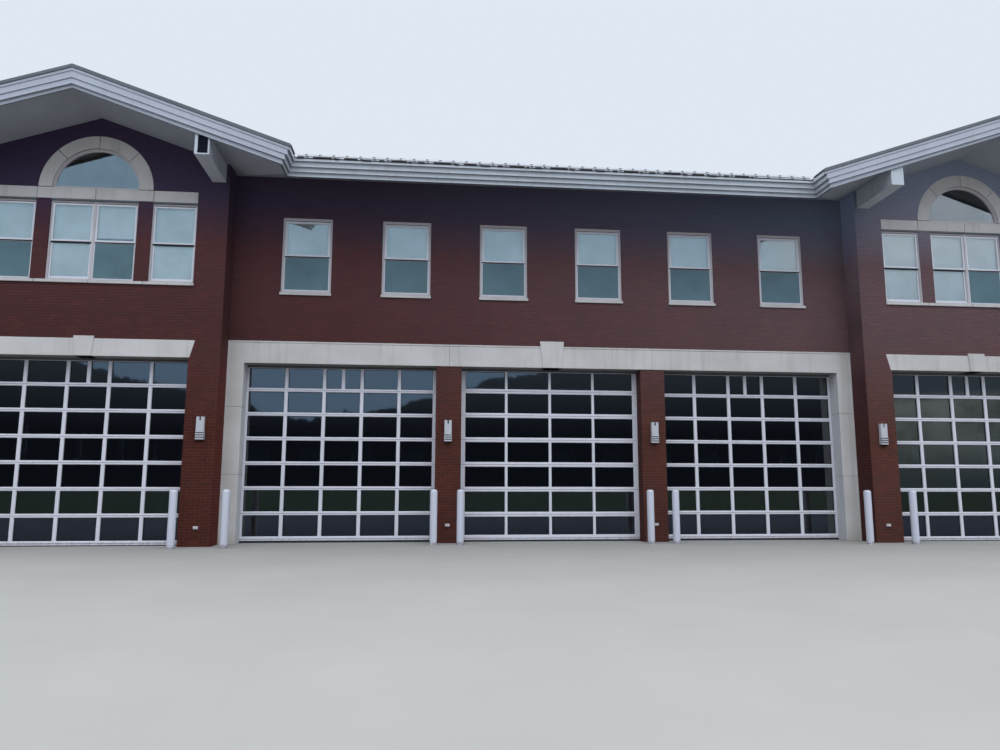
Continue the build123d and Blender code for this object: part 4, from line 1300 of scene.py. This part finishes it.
class STATION_OT_vehicle_doors(bpy.types.Operator):
    """Build the five glazed overhead doors with their gaskets and seals"""

    bl_idname = "station.vehicle_doors"
    bl_label = "Vehicle doors"

    def execute(self, context):
        sizes = context.scene.station_sizes
        side_x = PIER_X + PIER_W / 2 + SIDE_DOOR[0]
        centre_y, wing_y = FRONT_Y + WALL_T, WING_Y + WALL_T
        groups = []
        for design, x, y in ((SIDE_DOOR, side_x, centre_y), (MIDDLE_DOOR, 0, centre_y),
                             (WING_DOOR, WING_X, wing_y)):
            parts = [stand(obj, (x, y, 0), 0) for obj in sectional_door(sizes, design)]
            if design is not MIDDLE_DOOR:
                parts = [join("Pair", [obj, mirrored(obj)]) for obj in parts]
            groups.append(parts)
        (side, side_gaskets), (middle, middle_gaskets), (wing, wing_gaskets) = groups
        unite("centre_vehicle_doors", [middle, side], "door", "door_white", "centre_door_frames")
        unite("wing_vehicle_doors", [wing], "door", "door_white", "wing_door_frames")
        unite("door_gaskets", [side_gaskets, middle_gaskets, wing_gaskets], "rubber", "seal_rubber")

        # Dark flaps under the door heads: partly a seal, partly painted shade over the doors' top rails
        flaps, feet = [], []
        for design, x, y in ((SIDE_DOOR, -side_x, centre_y), (MIDDLE_DOOR, 0, centre_y),
                             (SIDE_DOOR, side_x, centre_y), (WING_DOOR, -WING_X, wing_y),
                             (WING_DOOR, WING_X, wing_y)):
            half, seal = design[:2]
            flap = block("Flap", (x - half, y - 0.016, DOOR_GLASS_TOP + 0.008),
                         (x + half, y - 0.001, DOOR_HEAD))
            flaps.append(soften(flap, 0.003))
            foot = block("Foot", (x - half - DOOR_LAP, y + 0.004, 0),
                         (x + half + DOOR_LAP, y + DOOR_T - 0.004, seal))
            feet.append(soften(foot, 0.009, 3, 60))
        unite("door_head_seals", flaps, "flap", "seal_rubber")
        unite("door_foot_seals", feet, "rubber", "seal_rubber", "door_bottom_seals", angle=SMOOTH_ANGLE)
        dress(finish_of("door_glass"), "door_glass")
        return {"FINISHED"}


class STATION_OT_back_door(bpy.types.Operator):
    """Finish the plain door at the back"""

    bl_idname = "station.back_door"
    bl_label = "Back door"

    def execute(self, context):
        paint = finish_of("back_door")
        low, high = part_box("back_door_leaf")
        leaf = block("back_door", low, high)
        with editing(leaf):
            pick(leaf, "faces", lambda face: face.normal.y > 0.9)
            bpy.ops.mesh.inset(thickness=0.14)
            bpy.ops.mesh.inset(thickness=0.012, depth=-0.008)
        deliver(soften(leaf, 0.003), paint, "back_door_paint", "back_door_leaf")
        casing = soften(from_node("back_door_casing", "back_door_frame"), 0.004)
        deliver(casing, finish_of("window"), "window_white", "back_door_frame")

        face = high.y
        plate = soften(block("Kick", (low.x + 0.03, face, 0.03), (high.x - 0.03, face + 0.003, 0.28)), 0.001)
        rose = block("Rose", (low.x + 0.05, face, 0.94), (low.x + 0.10, face + 0.012, 1.12))
        lever = block("Lever", (low.x + 0.06, face + 0.035, 1.035), (low.x + 0.19, face + 0.052, 1.055))
        neck = block("Neck", (low.x + 0.066, face, 1.037), (low.x + 0.084, face + 0.05, 1.053))
        hinges = [block("Hinge", (high.x - 0.004, face - 0.004, z), (high.x + 0.012, face + 0.014, z + 0.11))
                  for z in (0.2, 1.0, 1.85)]
        fittings = [soften(obj, 0.004, 2) for obj in (rose, lever, neck, *hinges)]
        unite("back_door_fittings", [plate, *fittings], "metal", "grey_metal", angle=SMOOTH_ANGLE)
        return {"FINISHED"}


# Roof

def roof_tile(sizes):
    """Flat interlocking tile with a rib along one side, its butt at y = 0 and raised on the course below."""
    width, course = sizes.tile_width, sizes.tile_course
    tile = block("Tile", (0, 0, 0), (width - 0.004, course + 0.07, 0.016))
    split(tile, (0.04, 0, 0), (1, 0, 0))
    with editing(tile):
        pick(tile, "faces", lambda face: face.normal.z > 0.9 and face.calc_center_median().x < 0.04)
        extrude((0, 0, 0.011))
    lift = 0.020
    tilt = -math.atan(lift / course)
    tile.data.transform(Matrix.Translation((0, 0, lift + 0.003)) @ Matrix.Rotation(tilt, 4, "X"))
    return tile


def joint_before(low, width):
    """The last joint between two tiles before a place along the eave."""
    return TILE_JOINT + math.floor((low - TILE_JOINT) / width) * width


def tile_field(sizes, low, high, run):
    """Courses of tiles up a slope whose eave is at y = 0, level with z = 0, in half bond."""
    width, course = sizes.tile_width, sizes.tile_course
    tile = roof_tile(sizes)
    upper = copy(tile, (width / 2, course, 0))
    field = join("Tiles", [tile, upper])
    count = math.ceil((high - low) / width) + 3
    rows = math.ceil(run / math.cos(PITCH) / course / 2) + 1
    repeat(field, count, (width, 0, 0))
    repeat(field, rows, (0, 2 * course, 0))
    start = Matrix.Translation((joint_before(low, width) - width, 0, 0))
    field.data.transform(Matrix.Rotation(PITCH, 4, "X") @ start)
    return field


def lay_tiles(field, wall_line, turn, cuts):
    """Turn a field so that it rises from its wall line, and trim it at upright planes."""
    eave = Matrix.Translation((0, -TILE_REACH, DECK_TOP - SLOPE * TILE_REACH))
    field.data.transform(Matrix.Translation(wall_line) @ Matrix.Rotation(turn, 4, "Z") @ eave)
    for point, normal in cuts:
        trim(field, (*point, 0), (*normal, 0))
    return field


# Dark scraps below the lowest tiles as painted shadow: start in tiles, length and rise, once in a run
SHADOW_RUN = 9
SHADOW_FLAPS = ((0.1, 0.16, 0.0), (1.3, 0.42, 0.006), (2.9, 0.10, -0.006), (3.6, 0.30, 0.004),
              (4.9, 0.22, -0.008), (6.2, 0.12, 0.0), (7.1, 0.36, 0.005), (8.4, 0.08, -0.004))
TILE_JOINT = -0.131
VALLEY_GAP = 0.05
CAP_LIFT = 0.045
HIP_SLOPE = SLOPE * 0.707
RIDGE_RUN = DEPTH / 2
RIDGE_X = HALF_WIDTH - RIDGE_RUN
RIDGE_Y = FRONT_Y + RIDGE_RUN
GABLE_END = (WING_X, FRONT_Y + HALF_WING)


class STATION_OT_roof_tiles(bpy.types.Operator):
    """Tile every slope of the roof"""

    bl_idname = "station.roof_tiles"
    bl_label = "Roof tiles"

    def execute(self, context):
        sizes = context.scene.station_sizes
        tile = finish_of("tile")
        front_cuts = [((0, RIDGE_Y), (0, 1))]
        back_cuts = [((0, RIDGE_Y), (0, -1))]
        for way in (-1, 1):
            front_cuts.append(((way * (HALF_CENTRE - VALLEY_GAP), FRONT_Y), (way, -1)))
            front_cuts.append(((way * HALF_WIDTH, FRONT_Y), (way, 1)))
            back_cuts.append(((way * HALF_WIDTH, BACK_Y), (way, -1)))
        reach = HALF_CENTRE + HALF_WING
        run = RIDGE_RUN + TILE_REACH
        front = lay_tiles(tile_field(sizes, -reach, reach, run), (0, FRONT_Y, 0), 0, front_cuts)
        deliver(front, tile, "roof_tile", "roof_tiles").name = "front_tiles"
        edge = HALF_WIDTH + TILE_REACH
        back = lay_tiles(tile_field(sizes, -edge, edge, run), (0, BACK_Y, 0), math.pi, back_cuts)
        deliver(back, tile, "roof_tile", "roof_tiles").name = "back_tiles"

        right = self.side(sizes, run)
        left = mirrored(right)
        deliver(right, tile, "roof_tile", "roof_tiles").name = "right_side_tiles"
        deliver(left, tile, "roof_tile", "roof_tiles").name = "left_side_tiles"

        self.eave_ends(sizes)
        low, high = -GABLE_END[1] - 0.1, -RAKE_Y
        inner = tile_field(sizes, low, high, HALF_WING + TILE_REACH)
        cuts = [((WING_X, 0), (1, 0)), ((0, RAKE_Y), (0, -1)), ((HALF_CENTRE + VALLEY_GAP, FRONT_Y), (-1, 1))]
        lay_tiles(inner, (HALF_CENTRE, 0, 0), -math.pi / 2, cuts)
        unite("gable_tiles", [inner, mirrored(inner)], "tile", "roof_tile", "roof_tiles")
        return {"FINISHED"}

    def eave_ends(self, sizes):
        """Thick butts of the lowest course along the level eaves, with a small gap where two tiles meet."""
        width = sizes.tile_width
        foot = DECK_TOP - SLOPE * TILE_REACH + 0.018
        edge, inner = HALF_WIDTH + TILE_REACH, HALF_CENTRE - TILE_REACH
        runs = [(-inner, inner, (0, FRONT_Y - TILE_REACH + 0.008, foot), 0),
                (-edge, edge, (0, BACK_Y + TILE_REACH - 0.008, foot), math.pi)]
        rear = BACK_Y + TILE_REACH
        for side in (-1, 1):
            span = (RAKE_Y, rear) if side > 0 else (-rear, -RAKE_Y)
            runs.append((*span, (side * (edge - 0.008), 0, foot), side * math.pi / 2))
        rows, shadows, clips = [], [], []
        for low, high, place, turn in runs:
            first = joint_before(low, width)
            end = block("End", (0.003, 0, -0.030), (width - 0.003, 0.05, 0.058))
            count = math.ceil((high - first) / width)
            repeat(soften(end, 0.003), count, (width, 0, 0))
            end.data.transform(Matrix.Translation((first, 0, 0)))
            trim(end, (high, 0, 0), (1, 0, 0))
            trim(end, (low, 0, 0), (-1, 0, 0))
            rows.append(stand(end, place, turn))
            # Dark clips at the joints: partly clips, partly painted shadow between the tiles
            clip = block("Clip", (-0.030, -0.014, -0.018), (0.030, 0.04, 0.050))
            split(clip, (0, 0, 0.018), (0, 0, 1))
            slide(clip, lambda co: co.z < 0.0, (0.014, 0, 0))
            repeat(soften(clip, 0.002), count - 1, (width, 0, 0))
            clip.data.transform(Matrix.Translation((first + width, 0, 0)))
            clips.append(stand(clip, place, turn))
            # Dark strip under the butts: painted shadow
            shadow = block("Shadow", (low, 0.012, -0.048), (high, 0.06, 0.050))
            shadows.append(stand(shadow, place, turn))
            for start, length, rise in SHADOW_FLAPS:
                flap = block("Flap", (start * width, -0.004, -0.046 + rise),
                             (start * width + length, 0.02, -0.012 + rise))
                repeat(flap, max(1, int((high - low) / width / SHADOW_RUN)), (SHADOW_RUN * width, 0, 0))
                flap.data.transform(Matrix.Translation((low, 0, 0)))
                shadows.append(stand(flap, place, turn))
        unite("eave_tile_ends", rows, "tile", "roof_tile", "roof_tiles")
        unite("eave_underlay", shadows, "rubber", "roof_tile")
        unite("eave_tile_clips", clips, "flashing", "roof_tile")

    def side(self, sizes, run):
        """Right side slope: the part under the gable's ridge, and the part between the hips."""
        field = tile_field(sizes, RAKE_Y, BACK_Y + TILE_REACH, run)
        rear = copy(field)
        gable_cuts = [((0, RAKE_Y), (0, -1)), ((0, GABLE_END[1]), (0, 1)), ((WING_X, 0), (-1, 0))]
        rear_cuts = [((0, GABLE_END[1]), (0, -1)), ((HALF_WIDTH, FRONT_Y), (-1, -1)),
                     ((HALF_WIDTH, BACK_Y), (-1, 1))]
        lay_tiles(field, (HALF_WIDTH, 0, 0), math.pi / 2, gable_cuts)
        lay_tiles(rear, (HALF_WIDTH, 0, 0), math.pi / 2, rear_cuts)
        return join("Side", [field, rear])


class STATION_OT_ridge_caps(bpy.types.Operator):
    """Cap the ridges and hips and line the valleys"""

    bl_idname = "station.ridge_caps"
    bl_label = "Ridge caps"

    def execute(self, context):
        sizes = context.scene.station_sizes
        top = DECK_TOP + CAP_LIFT
        ridge_z = top + SLOPE * RIDGE_RUN
        gable_z = top + SLOPE * HALF_WING
        corner = (HALF_WIDTH + TILE_REACH - 0.1, BACK_Y + TILE_REACH - 0.1, top - SLOPE * (TILE_REACH - 0.1))
        runs = [self.run(sizes, (-RIDGE_X, RIDGE_Y, ridge_z), (RIDGE_X, RIDGE_Y, ridge_z), SLOPE)]
        half = [self.run(sizes, (WING_X, RAKE_Y + 0.06, gable_z - 0.028), (*GABLE_END, gable_z), SLOPE),
                self.run(sizes, (*GABLE_END, gable_z), (RIDGE_X, RIDGE_Y, ridge_z), HIP_SLOPE),
                self.run(sizes, corner, (RIDGE_X, RIDGE_Y, ridge_z), HIP_SLOPE)]
        runs += half + [mirrored(obj) for obj in half]
        unite("roof_caps", runs, "tile", "roof_tile", "ridge_caps")

        foot = (HALF_CENTRE - TILE_REACH, FRONT_Y - TILE_REACH, DECK_TOP - SLOPE * TILE_REACH)
        head = (*GABLE_END, DECK_TOP + SLOPE * HALF_WING)
        valley = self.valley(Vector(foot), Vector(head))
        unite("valley_flashings", [valley, mirrored(valley)], "flashing", "roof_tile")
        return {"FINISHED"}

    def run(self, sizes, start, end, fall):
        """Row of overlapping V-shaped caps from one point to another."""
        way = Vector(end) - Vector(start)
        count = max(1, round(way.length / sizes.cap_course))
        step = way.length / count
        half, thick = 0.15, 0.018
        cap = block("Cap", (-half, 0, 0), (half, step + 0.05, thick))
        split(cap, (0, 0, 0), (1, 0, 0))
        slide(cap, lambda co: abs(co.x) > half - 0.001, (0, 0, -fall * half))
        tilt = Matrix.Rotation(-math.atan(thick / step), 4, "X")
        cap.data.transform(Matrix.Translation((0, 0, 0.016)) @ tilt)
        repeat(cap, count, (0, step, 0))
        turn = way.to_track_quat("Y", "Z").to_matrix().to_4x4()
        cap.data.transform(Matrix.Translation(start) @ turn)
        return cap

    def valley(self, foot, head):
        """Folded sheet under the cut edges of the tiles."""
        way = head - foot
        half = 0.2
        strip = block("Valley", (-half, 0, 0), (half, way.length, 0.003))
        split(strip, (0, 0, 0), (1, 0, 0))
        slide(strip, lambda co: abs(co.x) > half - 0.001, (0, 0, HIP_SLOPE * half))
        turn = way.to_track_quat("Y", "Z").to_matrix().to_4x4()
        strip.data.transform(Matrix.Translation(foot + Vector((0, 0, 0.004))) @ turn)
        return strip


# Eaves

BOARD_SEAMS = (-3.7, 0.74, 3.16)
SEAM_W = 0.006
# Opening in a beam end, from the centre block's corner outwards
VENT_IN = 0.117
VENT_W = 0.215
VENT_FOOT = 8.595
VENT_H = 0.50


class STATION_OT_eaves(bpy.types.Operator):
    """Finish the fascias, soffits, verge trims and bracket ends"""

    bl_idname = "station.eaves"
    bl_label = "Eaves"

    def execute(self, context):
        for node, name, finish in (("centre_eave_fascia", "centre_fascia_boards", "fascia"),
                                   ("side_eave_fascias", "side_fascia_boards", "fascia"),
                                   ("back_eave_fascia", "back_fascia_boards", "fascia"),
                                   ("gable_fascias", "gable_fascia_boards", "shaded_gable_fascia")):
            boards = from_node(name, node)
            if node == "centre_eave_fascia":
                self.seams(boards)
            deliver(soften(boards, 0.004), finish_of(finish), "painted_fascia", node)
        dress(finish_of("soffit"), "centre_soffit", "gable_soffits", "side_soffits", "back_soffit")
        dress(finish_of("boarding"), "front_roof_deck", "back_roof_deck", "side_roof_decks",
              "gable_roof_decks")
        brackets = soften(from_node("gable_bracket_boxes", "gable_brackets"), 0.006)
        deliver(brackets, finish_of("trim"), "painted_fascia", "gable_brackets")
        self.bracket_vent()
        unite("verge_trims", [self.verge(side) for side in (-1, 1)], "flashing", "roof_tile")
        return {"FINISHED"}

    def bracket_vent(self):
        """Dark louvred panel in the opening of one inner beam end; its dark paint is painted shade."""
        left, right = -HALF_CENTRE - VENT_IN - VENT_W, -HALF_CENTRE - VENT_IN
        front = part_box("gable_brackets")[0].y
        panel = block("Panel", (left + 0.001, front + 0.05, VENT_FOOT + 0.001),
                      (right - 0.001, front + 0.06, VENT_FOOT + VENT_H - 0.001))
        blade = block("Blade", (left + 0.002, front + 0.004, VENT_FOOT + 0.006),
                      (right - 0.002, front + 0.010, VENT_FOOT + 0.036))
        slide(blade, lambda co: co.z > VENT_FOOT + 0.02, (0, 0.030, 0))
        repeat(soften(blade, 0.001), 14, (0, 0, 0.035))
        rim = ring("Rim", VENT_W / 2 - 0.001, VENT_FOOT + 0.001, VENT_FOOT + VENT_H - 0.001,
                   0.008, front - 0.002, 0.05)
        rim.data.transform(Matrix.Translation(((left + right) / 2, 0, 0)))
        unite("bracket_vent_panel", [panel, blade, rim], "vent", "painted_fascia")

    def seams(self, boards):
        """Upright joints where two lengths of board meet."""
        for x in BOARD_SEAMS:
            for edge in (x - SEAM_W / 2, x + SEAM_W / 2):
                split(boards, (edge, 0, 0), (1, 0, 0))
            with editing(boards):
                pick(boards, "faces",
                     lambda face: face.normal.y < -0.9 and abs(face.calc_center_median().x - x) < SEAM_W / 2)
                extrude((0, 0.005, 0))

    def verge(self, side):
        """Dark metal trim over the deck's edge along both rakes of a gable."""
        half = HALF_WING + 1.69
        strips = []
        for way in (-1, 1):
            strip = block("Verge", (0, RAKE_Y - 0.010, -0.035), (half, RAKE_Y + 0.05, 0.047))
            slide(strip, lambda co: co.x > half - 0.001, (0, 0, -SLOPE * half))
            if way < 0:
                strip.data.transform(Matrix.Scale(-1, 4, (1, 0, 0)))
                face_outwards(strip)
            strips.append(strip)
        obj = soften(join("Verge", strips), 0.006)
        return stand(obj, (side * WING_X, 0, DECK_TOP + SLOPE * HALF_WING), 0)


# Fittings

# Bollards on the right, as places along the front and before it
BOLLARD_SPOTS = ((2.280, 0.500), (2.905, 0.500), (7.475, 1.020), (8.565, 1.115), (13.240, 1.115))
# Places along the front of the fittings on a centre pier and on a wing's inner pier
LIGHT_X = (2.579, 8.213)
LIGHT_DROP = 0.032
SLIT_LEVELS = (0.036, 0.089, 0.142)
OUTLET_X = (2.567, 8.197)


class STATION_OT_bollards(bpy.types.Operator):
    """Place the domed bollards that guard the door jambs"""

    bl_idname = "station.bollards"
    bl_label = "Bollards"

    def execute(self, context):
        sizes = context.scene.station_sizes
        radius, height = sizes.bollard_radius, sizes.bollard_height
        bpy.ops.object.select_all(action="DESELECT")
        bpy.ops.mesh.primitive_cylinder_add(vertices=40, radius=radius, depth=height,
                                            location=(0, 0, height / 2))
        post = settle(bpy.context.object)
        with editing(post, "EDGE"):
            pick(post, "edges", lambda edge: all(vert.co.z > height - 0.001 for vert in edge.verts))
            bpy.ops.mesh.bevel(offset=radius * 0.62, segments=6, affect="EDGES")
        with editing(post):
            pick(post, "faces", lambda face: face.normal.z < -0.9)
            bpy.ops.mesh.inset(thickness=0.01)
        places = [(side * x, FRONT_Y - before, 0) for x, before in BOLLARD_SPOTS for side in (-1, 1)]
        unite("door_bollards", copies(post, places), "bollard", "bollard_white", "bollards", angle=50)
        return {"FINISHED"}


def fitting_places(centre_x, wing_x, wing_drop=0.0):
    """Places of a fitting on the six piers, from its places on the right."""
    spots = [(centre_x, FRONT_Y + PIER_BACK, 0), (wing_x, WING_Y, wing_drop),
             (2 * WING_X - wing_x, WING_Y, wing_drop)]
    return [(side * x, y - 0.006, -drop) for x, y, drop in spots for side in (-1, 1)]


class STATION_OT_wall_lights(bpy.types.Operator):
    """Fix the wall lights on the piers"""

    bl_idname = "station.wall_lights"
    bl_label = "Wall lights"

    def execute(self, context):
        half, deep, foot, head = 0.090, 0.094, 2.418, 2.933
        waist = foot + 0.185
        body = block("Light", (-half, -deep, waist), (half, 0, head))
        shade = block("Shade", (-half - 0.005, -deep - 0.005, foot), (half + 0.005, 0, waist))
        for part in (body, shade):
            with editing(part, "EDGE"):
                pick(part, "edges", lambda edge: all(vert.co.y < -deep + 0.001 for vert in edge.verts)
                     and abs(edge.verts[0].co.z - edge.verts[1].co.z) > 0.1)
                bpy.ops.mesh.bevel(offset=0.022, segments=5, affect="EDGES")
        slot = block("Slot", (-0.018, -deep - 0.02, head - 0.085), (0.018, -deep + 0.06, head + 0.02))
        modify(body, "BOOLEAN", operation="DIFFERENCE", object=slot, solver="EXACT")
        bpy.data.objects.remove(slot)
        slits = join("Slits", [block("Slit", (-half - 0.03, -deep - 0.03, foot + level),
                                     (half + 0.03, -deep + 0.045, foot + level + 0.022))
                               for level in SLIT_LEVELS])
        modify(shade, "BOOLEAN", operation="DIFFERENCE", object=slits, solver="EXACT")
        bpy.data.objects.remove(slits)
        light = soften(join("Light", [body, shade]), 0.002, 1, 50)
        places = fitting_places(*LIGHT_X, LIGHT_DROP)
        # Dark core that shows in the slot, the slits and under the housing: painted shadow
        shadow_core = block("Core", (-half + 0.008, -deep + 0.022, foot - 0.022),
                     (half - 0.008, -0.004, head - 0.004))
        unite("light_cores", copies(soften(shadow_core, 0.004), places), "rubber", "seal_rubber")
        unite("pier_lights", copies(light, places), "light_body", "grey_metal", "wall_lights",
              angle=SMOOTH_ANGLE)
        return {"FINISHED"}


class STATION_OT_outlets(bpy.types.Operator):
    """Fix the covered outlets low on the piers"""

    bl_idname = "station.outlets"
    bl_label = "Outlets"

    def execute(self, context):
        half, foot, head = 0.055, 0.383, 0.453
        box = soften(block("Box", (-half, -0.026, foot), (half, 0, head)), 0.004, 2)
        lids = []
        for low in (-half + 0.006, 0.003):
            lid = block("Lid", (low, -0.042, foot + 0.008), (low + half - 0.009, -0.024, head - 0.008))
            with editing(lid):
                pick(lid, "faces", lambda face: face.normal.y < -0.9)
                bpy.ops.mesh.inset(thickness=0.008, depth=0.004)
            lids.append(soften(lid, 0.002))
        hinge = block("Hinge", (-half + 0.004, -0.036, head - 0.010), (half - 0.004, -0.024, head - 0.002))
        outlet = join("Outlet", [box, *lids, soften(hinge, 0.003)])
        unite("pier_outlets", copies(outlet, fitting_places(*OUTLET_X)), "window", "grey_metal",
              "outlet_boxes", angle=SMOOTH_ANGLE)
        return {"FINISHED"}


class STATION_OT_floors(bpy.types.Operator):
    """Finish the floors of both storeys"""

    bl_idname = "station.floors"
    bl_label = "Floors"

    def execute(self, context):
        dress(finish_of("concrete"), "ground_slab", "upper_floor")
        return {"FINISHED"}


# Stage

# Soft key light: tilt and turn in degrees, strength and the angle that it fills
KEY_TILT, KEY_TURN = 32, 18
KEY_STRENGTH = 0.6
KEY_SPREAD = 60
FLOOR_SIZE = 240
# The floor as seen, as it throws light back, and as the panes mirror it, near and far
FLOOR_SEEN = (0.26, 0.255, 0.245), (0.31, 0.305, 0.29)
FLOOR_THROWN = (0.20, 0.19, 0.18)
FLOOR_NEAR = (0.055, 0.059, 0.088)
FLOOR_FAR = (0.022, 0.035, 0.018)
BACKDROP = (0.74, 0.81, 0.89)
# What the panes mirror over the horizon: a dark band at the left, a pale one at the right, the light above
DARK_BAND = (0.020, 0.025, 0.04), (0.10, 0.125, 0.17)
PALE_BAND = (0.10, 0.15, 0.19), (0.64, 0.72, 0.70)
PALE_PATCHES = (0.15, 0.18, 0.18)
PALE_HEAD = (0.15, 0.20, 0.26)
LOW_LIGHT = (0.40, 0.62, 0.92)
HIGH_LIGHT = (0.80, 1.20, 1.55), (1.25, 1.45, 1.65)
# Colour of the light by height over the horizon, from level to overhead
DOME = [(0.0, (0.34, 0.38, 0.46)), (0.12, (0.44, 0.50, 0.62)), (0.35, (0.90, 1.0, 1.16)),
        (0.7, (2.0, 2.1, 2.25)), (1.0, (2.9, 3.0, 3.15))]


class STATION_OT_stage(bpy.types.Operator):
    """Set the floor, the soft light and the camera"""

    bl_idname = "station.stage"
    bl_label = "Stage"

    def execute(self, context):
        bpy.ops.object.select_all(action="DESELECT")
        bpy.ops.mesh.primitive_plane_add(size=FLOOR_SIZE)
        ground = bpy.context.object
        ground.name = "Floor"
        ground.data.materials.append(self.pale_floor())
        self.sky(context.scene)
        bpy.ops.object.light_add(type="SUN", rotation=(math.radians(KEY_TILT), 0, math.radians(KEY_TURN)))
        sun = bpy.context.object
        sun.name = "Soft key"
        sun.data.energy = KEY_STRENGTH
        sun.data.angle = math.radians(KEY_SPREAD)
        self.camera(context.scene)
        context.scene.view_settings.view_transform = "Standard"
        return {"FINISHED"}

    def pale_floor(self):
        """Pale to the eye, darker in the light it throws back and darker still in the panes."""
        paint = Paint("Pale floor", roughness=0.8)
        path = paint.add("ShaderNodeLightPath")
        cloud = paint.noise(0.5, 4)
        seen = paint.mix(cloud, *FLOOR_SEEN)
        far = paint.spread(paint.axes()[1], FRONT_Y - 16, FRONT_Y - 13, 1.0, 0.0)
        mirrored_floor = paint.mix(far, FLOOR_NEAR, FLOOR_FAR)
        thrown = paint.mix(path.outputs["Is Glossy Ray"], FLOOR_THROWN, mirrored_floor)
        paint.set("Base Color", paint.mix(path.outputs["Is Camera Ray"], thrown, seen))
        paint.set("Specular IOR Level", 0.1)
        return paint.material

    def sky(self, scene):
        """Pale backdrop for the eye, a bright zenith for the light, soft bands for the panes to mirror."""
        world = bpy.data.worlds.new("Soft sky")
        scene.world = world
        world.use_nodes = True
        world.node_tree.nodes.clear()
        paint = Nodes(world.node_tree, "Generated")
        x, _, z = paint.axes()
        rough = paint.noise(9.0, 6.0, 0.7)
        rise = paint.maths("MULTIPLY", paint.maths("ABSOLUTE", paint.maths("ADD", x, 0.15)), 0.25)
        line = paint.maths("MINIMUM", paint.maths("ADD", rise, 0.075), 0.18)
        line = paint.maths("ADD", line, paint.maths("MULTIPLY", paint.maths("SUBTRACT", rough, 0.5), 0.07))

        pale = paint.mix(paint.spread(z, 0.0, 0.085), *PALE_BAND)
        pale = paint.mix(paint.spread(rough, 0.35, 0.65), pale, PALE_PATCHES)
        pale = paint.mix(paint.spread(z, 0.092, 0.105), pale, PALE_HEAD)
        dark = paint.mix(paint.spread(z, 0.06, 0.14), *DARK_BAND)
        low = paint.mix(paint.spread(x, 0.49, 0.54), dark, pale)
        bright = paint.mix(paint.spread(x, 0.39, 0.46), *HIGH_LIGHT)
        high = paint.mix(paint.spread(z, 0.18, 0.28), LOW_LIGHT, bright)
        mirror = paint.mix(paint.maths("GREATER_THAN", z, line), low, high)

        path = paint.add("ShaderNodeLightPath")
        colour = paint.mix(path.outputs["Is Glossy Ray"], paint.ramp(z, DOME), mirror)
        colour = paint.mix(path.outputs["Is Camera Ray"], colour, BACKDROP)
        light = paint.add("ShaderNodeBackground", {0: colour})
        paint.add("ShaderNodeOutputWorld", {0: light.outputs[0]})

    def camera(self, scene):
        """Camera at the photograph's place, turned as the fit gave it."""
        data = bpy.data.cameras.new("Street view")
        data.sensor_width = SENSOR
        data.lens = FOCAL_PIXELS / PICTURE_WIDTH * SENSOR
        data.clip_end = 500
        camera = bpy.data.objects.new("Street view", data)
        scene.collection.objects.link(camera)
        reach = math.cos(CAMERA_PITCH)
        ahead = Vector((math.sin(CAMERA_YAW) * reach, math.cos(CAMERA_YAW) * reach, math.sin(CAMERA_PITCH)))
        level = Vector((math.cos(CAMERA_YAW), -math.sin(CAMERA_YAW), 0))
        upright = level.cross(ahead)
        right = math.cos(CAMERA_ROLL) * level + math.sin(CAMERA_ROLL) * upright
        up = math.cos(CAMERA_ROLL) * upright - math.sin(CAMERA_ROLL) * level
        turn = Matrix((right, up, -ahead)).transposed().to_4x4()
        camera.matrix_world = Matrix.Translation(CAMERA_AT) @ turn
        scene.camera = camera


OPERATORS = (STATION_OT_brickwork, STATION_OT_stonework, STATION_OT_windows, STATION_OT_other_windows,
             STATION_OT_vehicle_doors, STATION_OT_back_door, STATION_OT_roof_tiles, STATION_OT_ridge_caps,
             STATION_OT_eaves, STATION_OT_bollards, STATION_OT_wall_lights, STATION_OT_outlets,
             STATION_OT_floors, STATION_OT_stage)


class STATION_PT_panel(bpy.types.Panel):
    """Sizes, colours and pieces of the station"""

    bl_label = "Fire Station"
    bl_idname = "STATION_PT_panel"
    bl_space_type = "VIEW_3D"
    bl_region_type = "UI"
    bl_category = "Station"

    def draw(self, context):
        layout = self.layout
        for group in (context.scene.station_sizes, context.scene.station_colours):
            box = layout.box()
            for name in group.__annotations__:
                box.prop(group, name)
        for operator in OPERATORS:
            layout.operator(operator.bl_idname)


CLASSES = (StationSizes, StationColours, *OPERATORS, STATION_PT_panel)


def register():
    for item in CLASSES:
        bpy.utils.register_class(item)
    bpy.types.Scene.station_sizes = bpy.props.PointerProperty(type=StationSizes)
    bpy.types.Scene.station_colours = bpy.props.PointerProperty(type=StationColours)


def unregister():
    del bpy.types.Scene.station_colours
    del bpy.types.Scene.station_sizes
    for item in reversed(CLASSES):
        bpy.utils.unregister_class(item)


def main():
    register()
    for operator in OPERATORS:
        group, name = operator.bl_idname.split(".")
        getattr(getattr(bpy.ops, group), name)()
    bpy.context.view_layer.update()


if __name__ == "__main__":
    main()
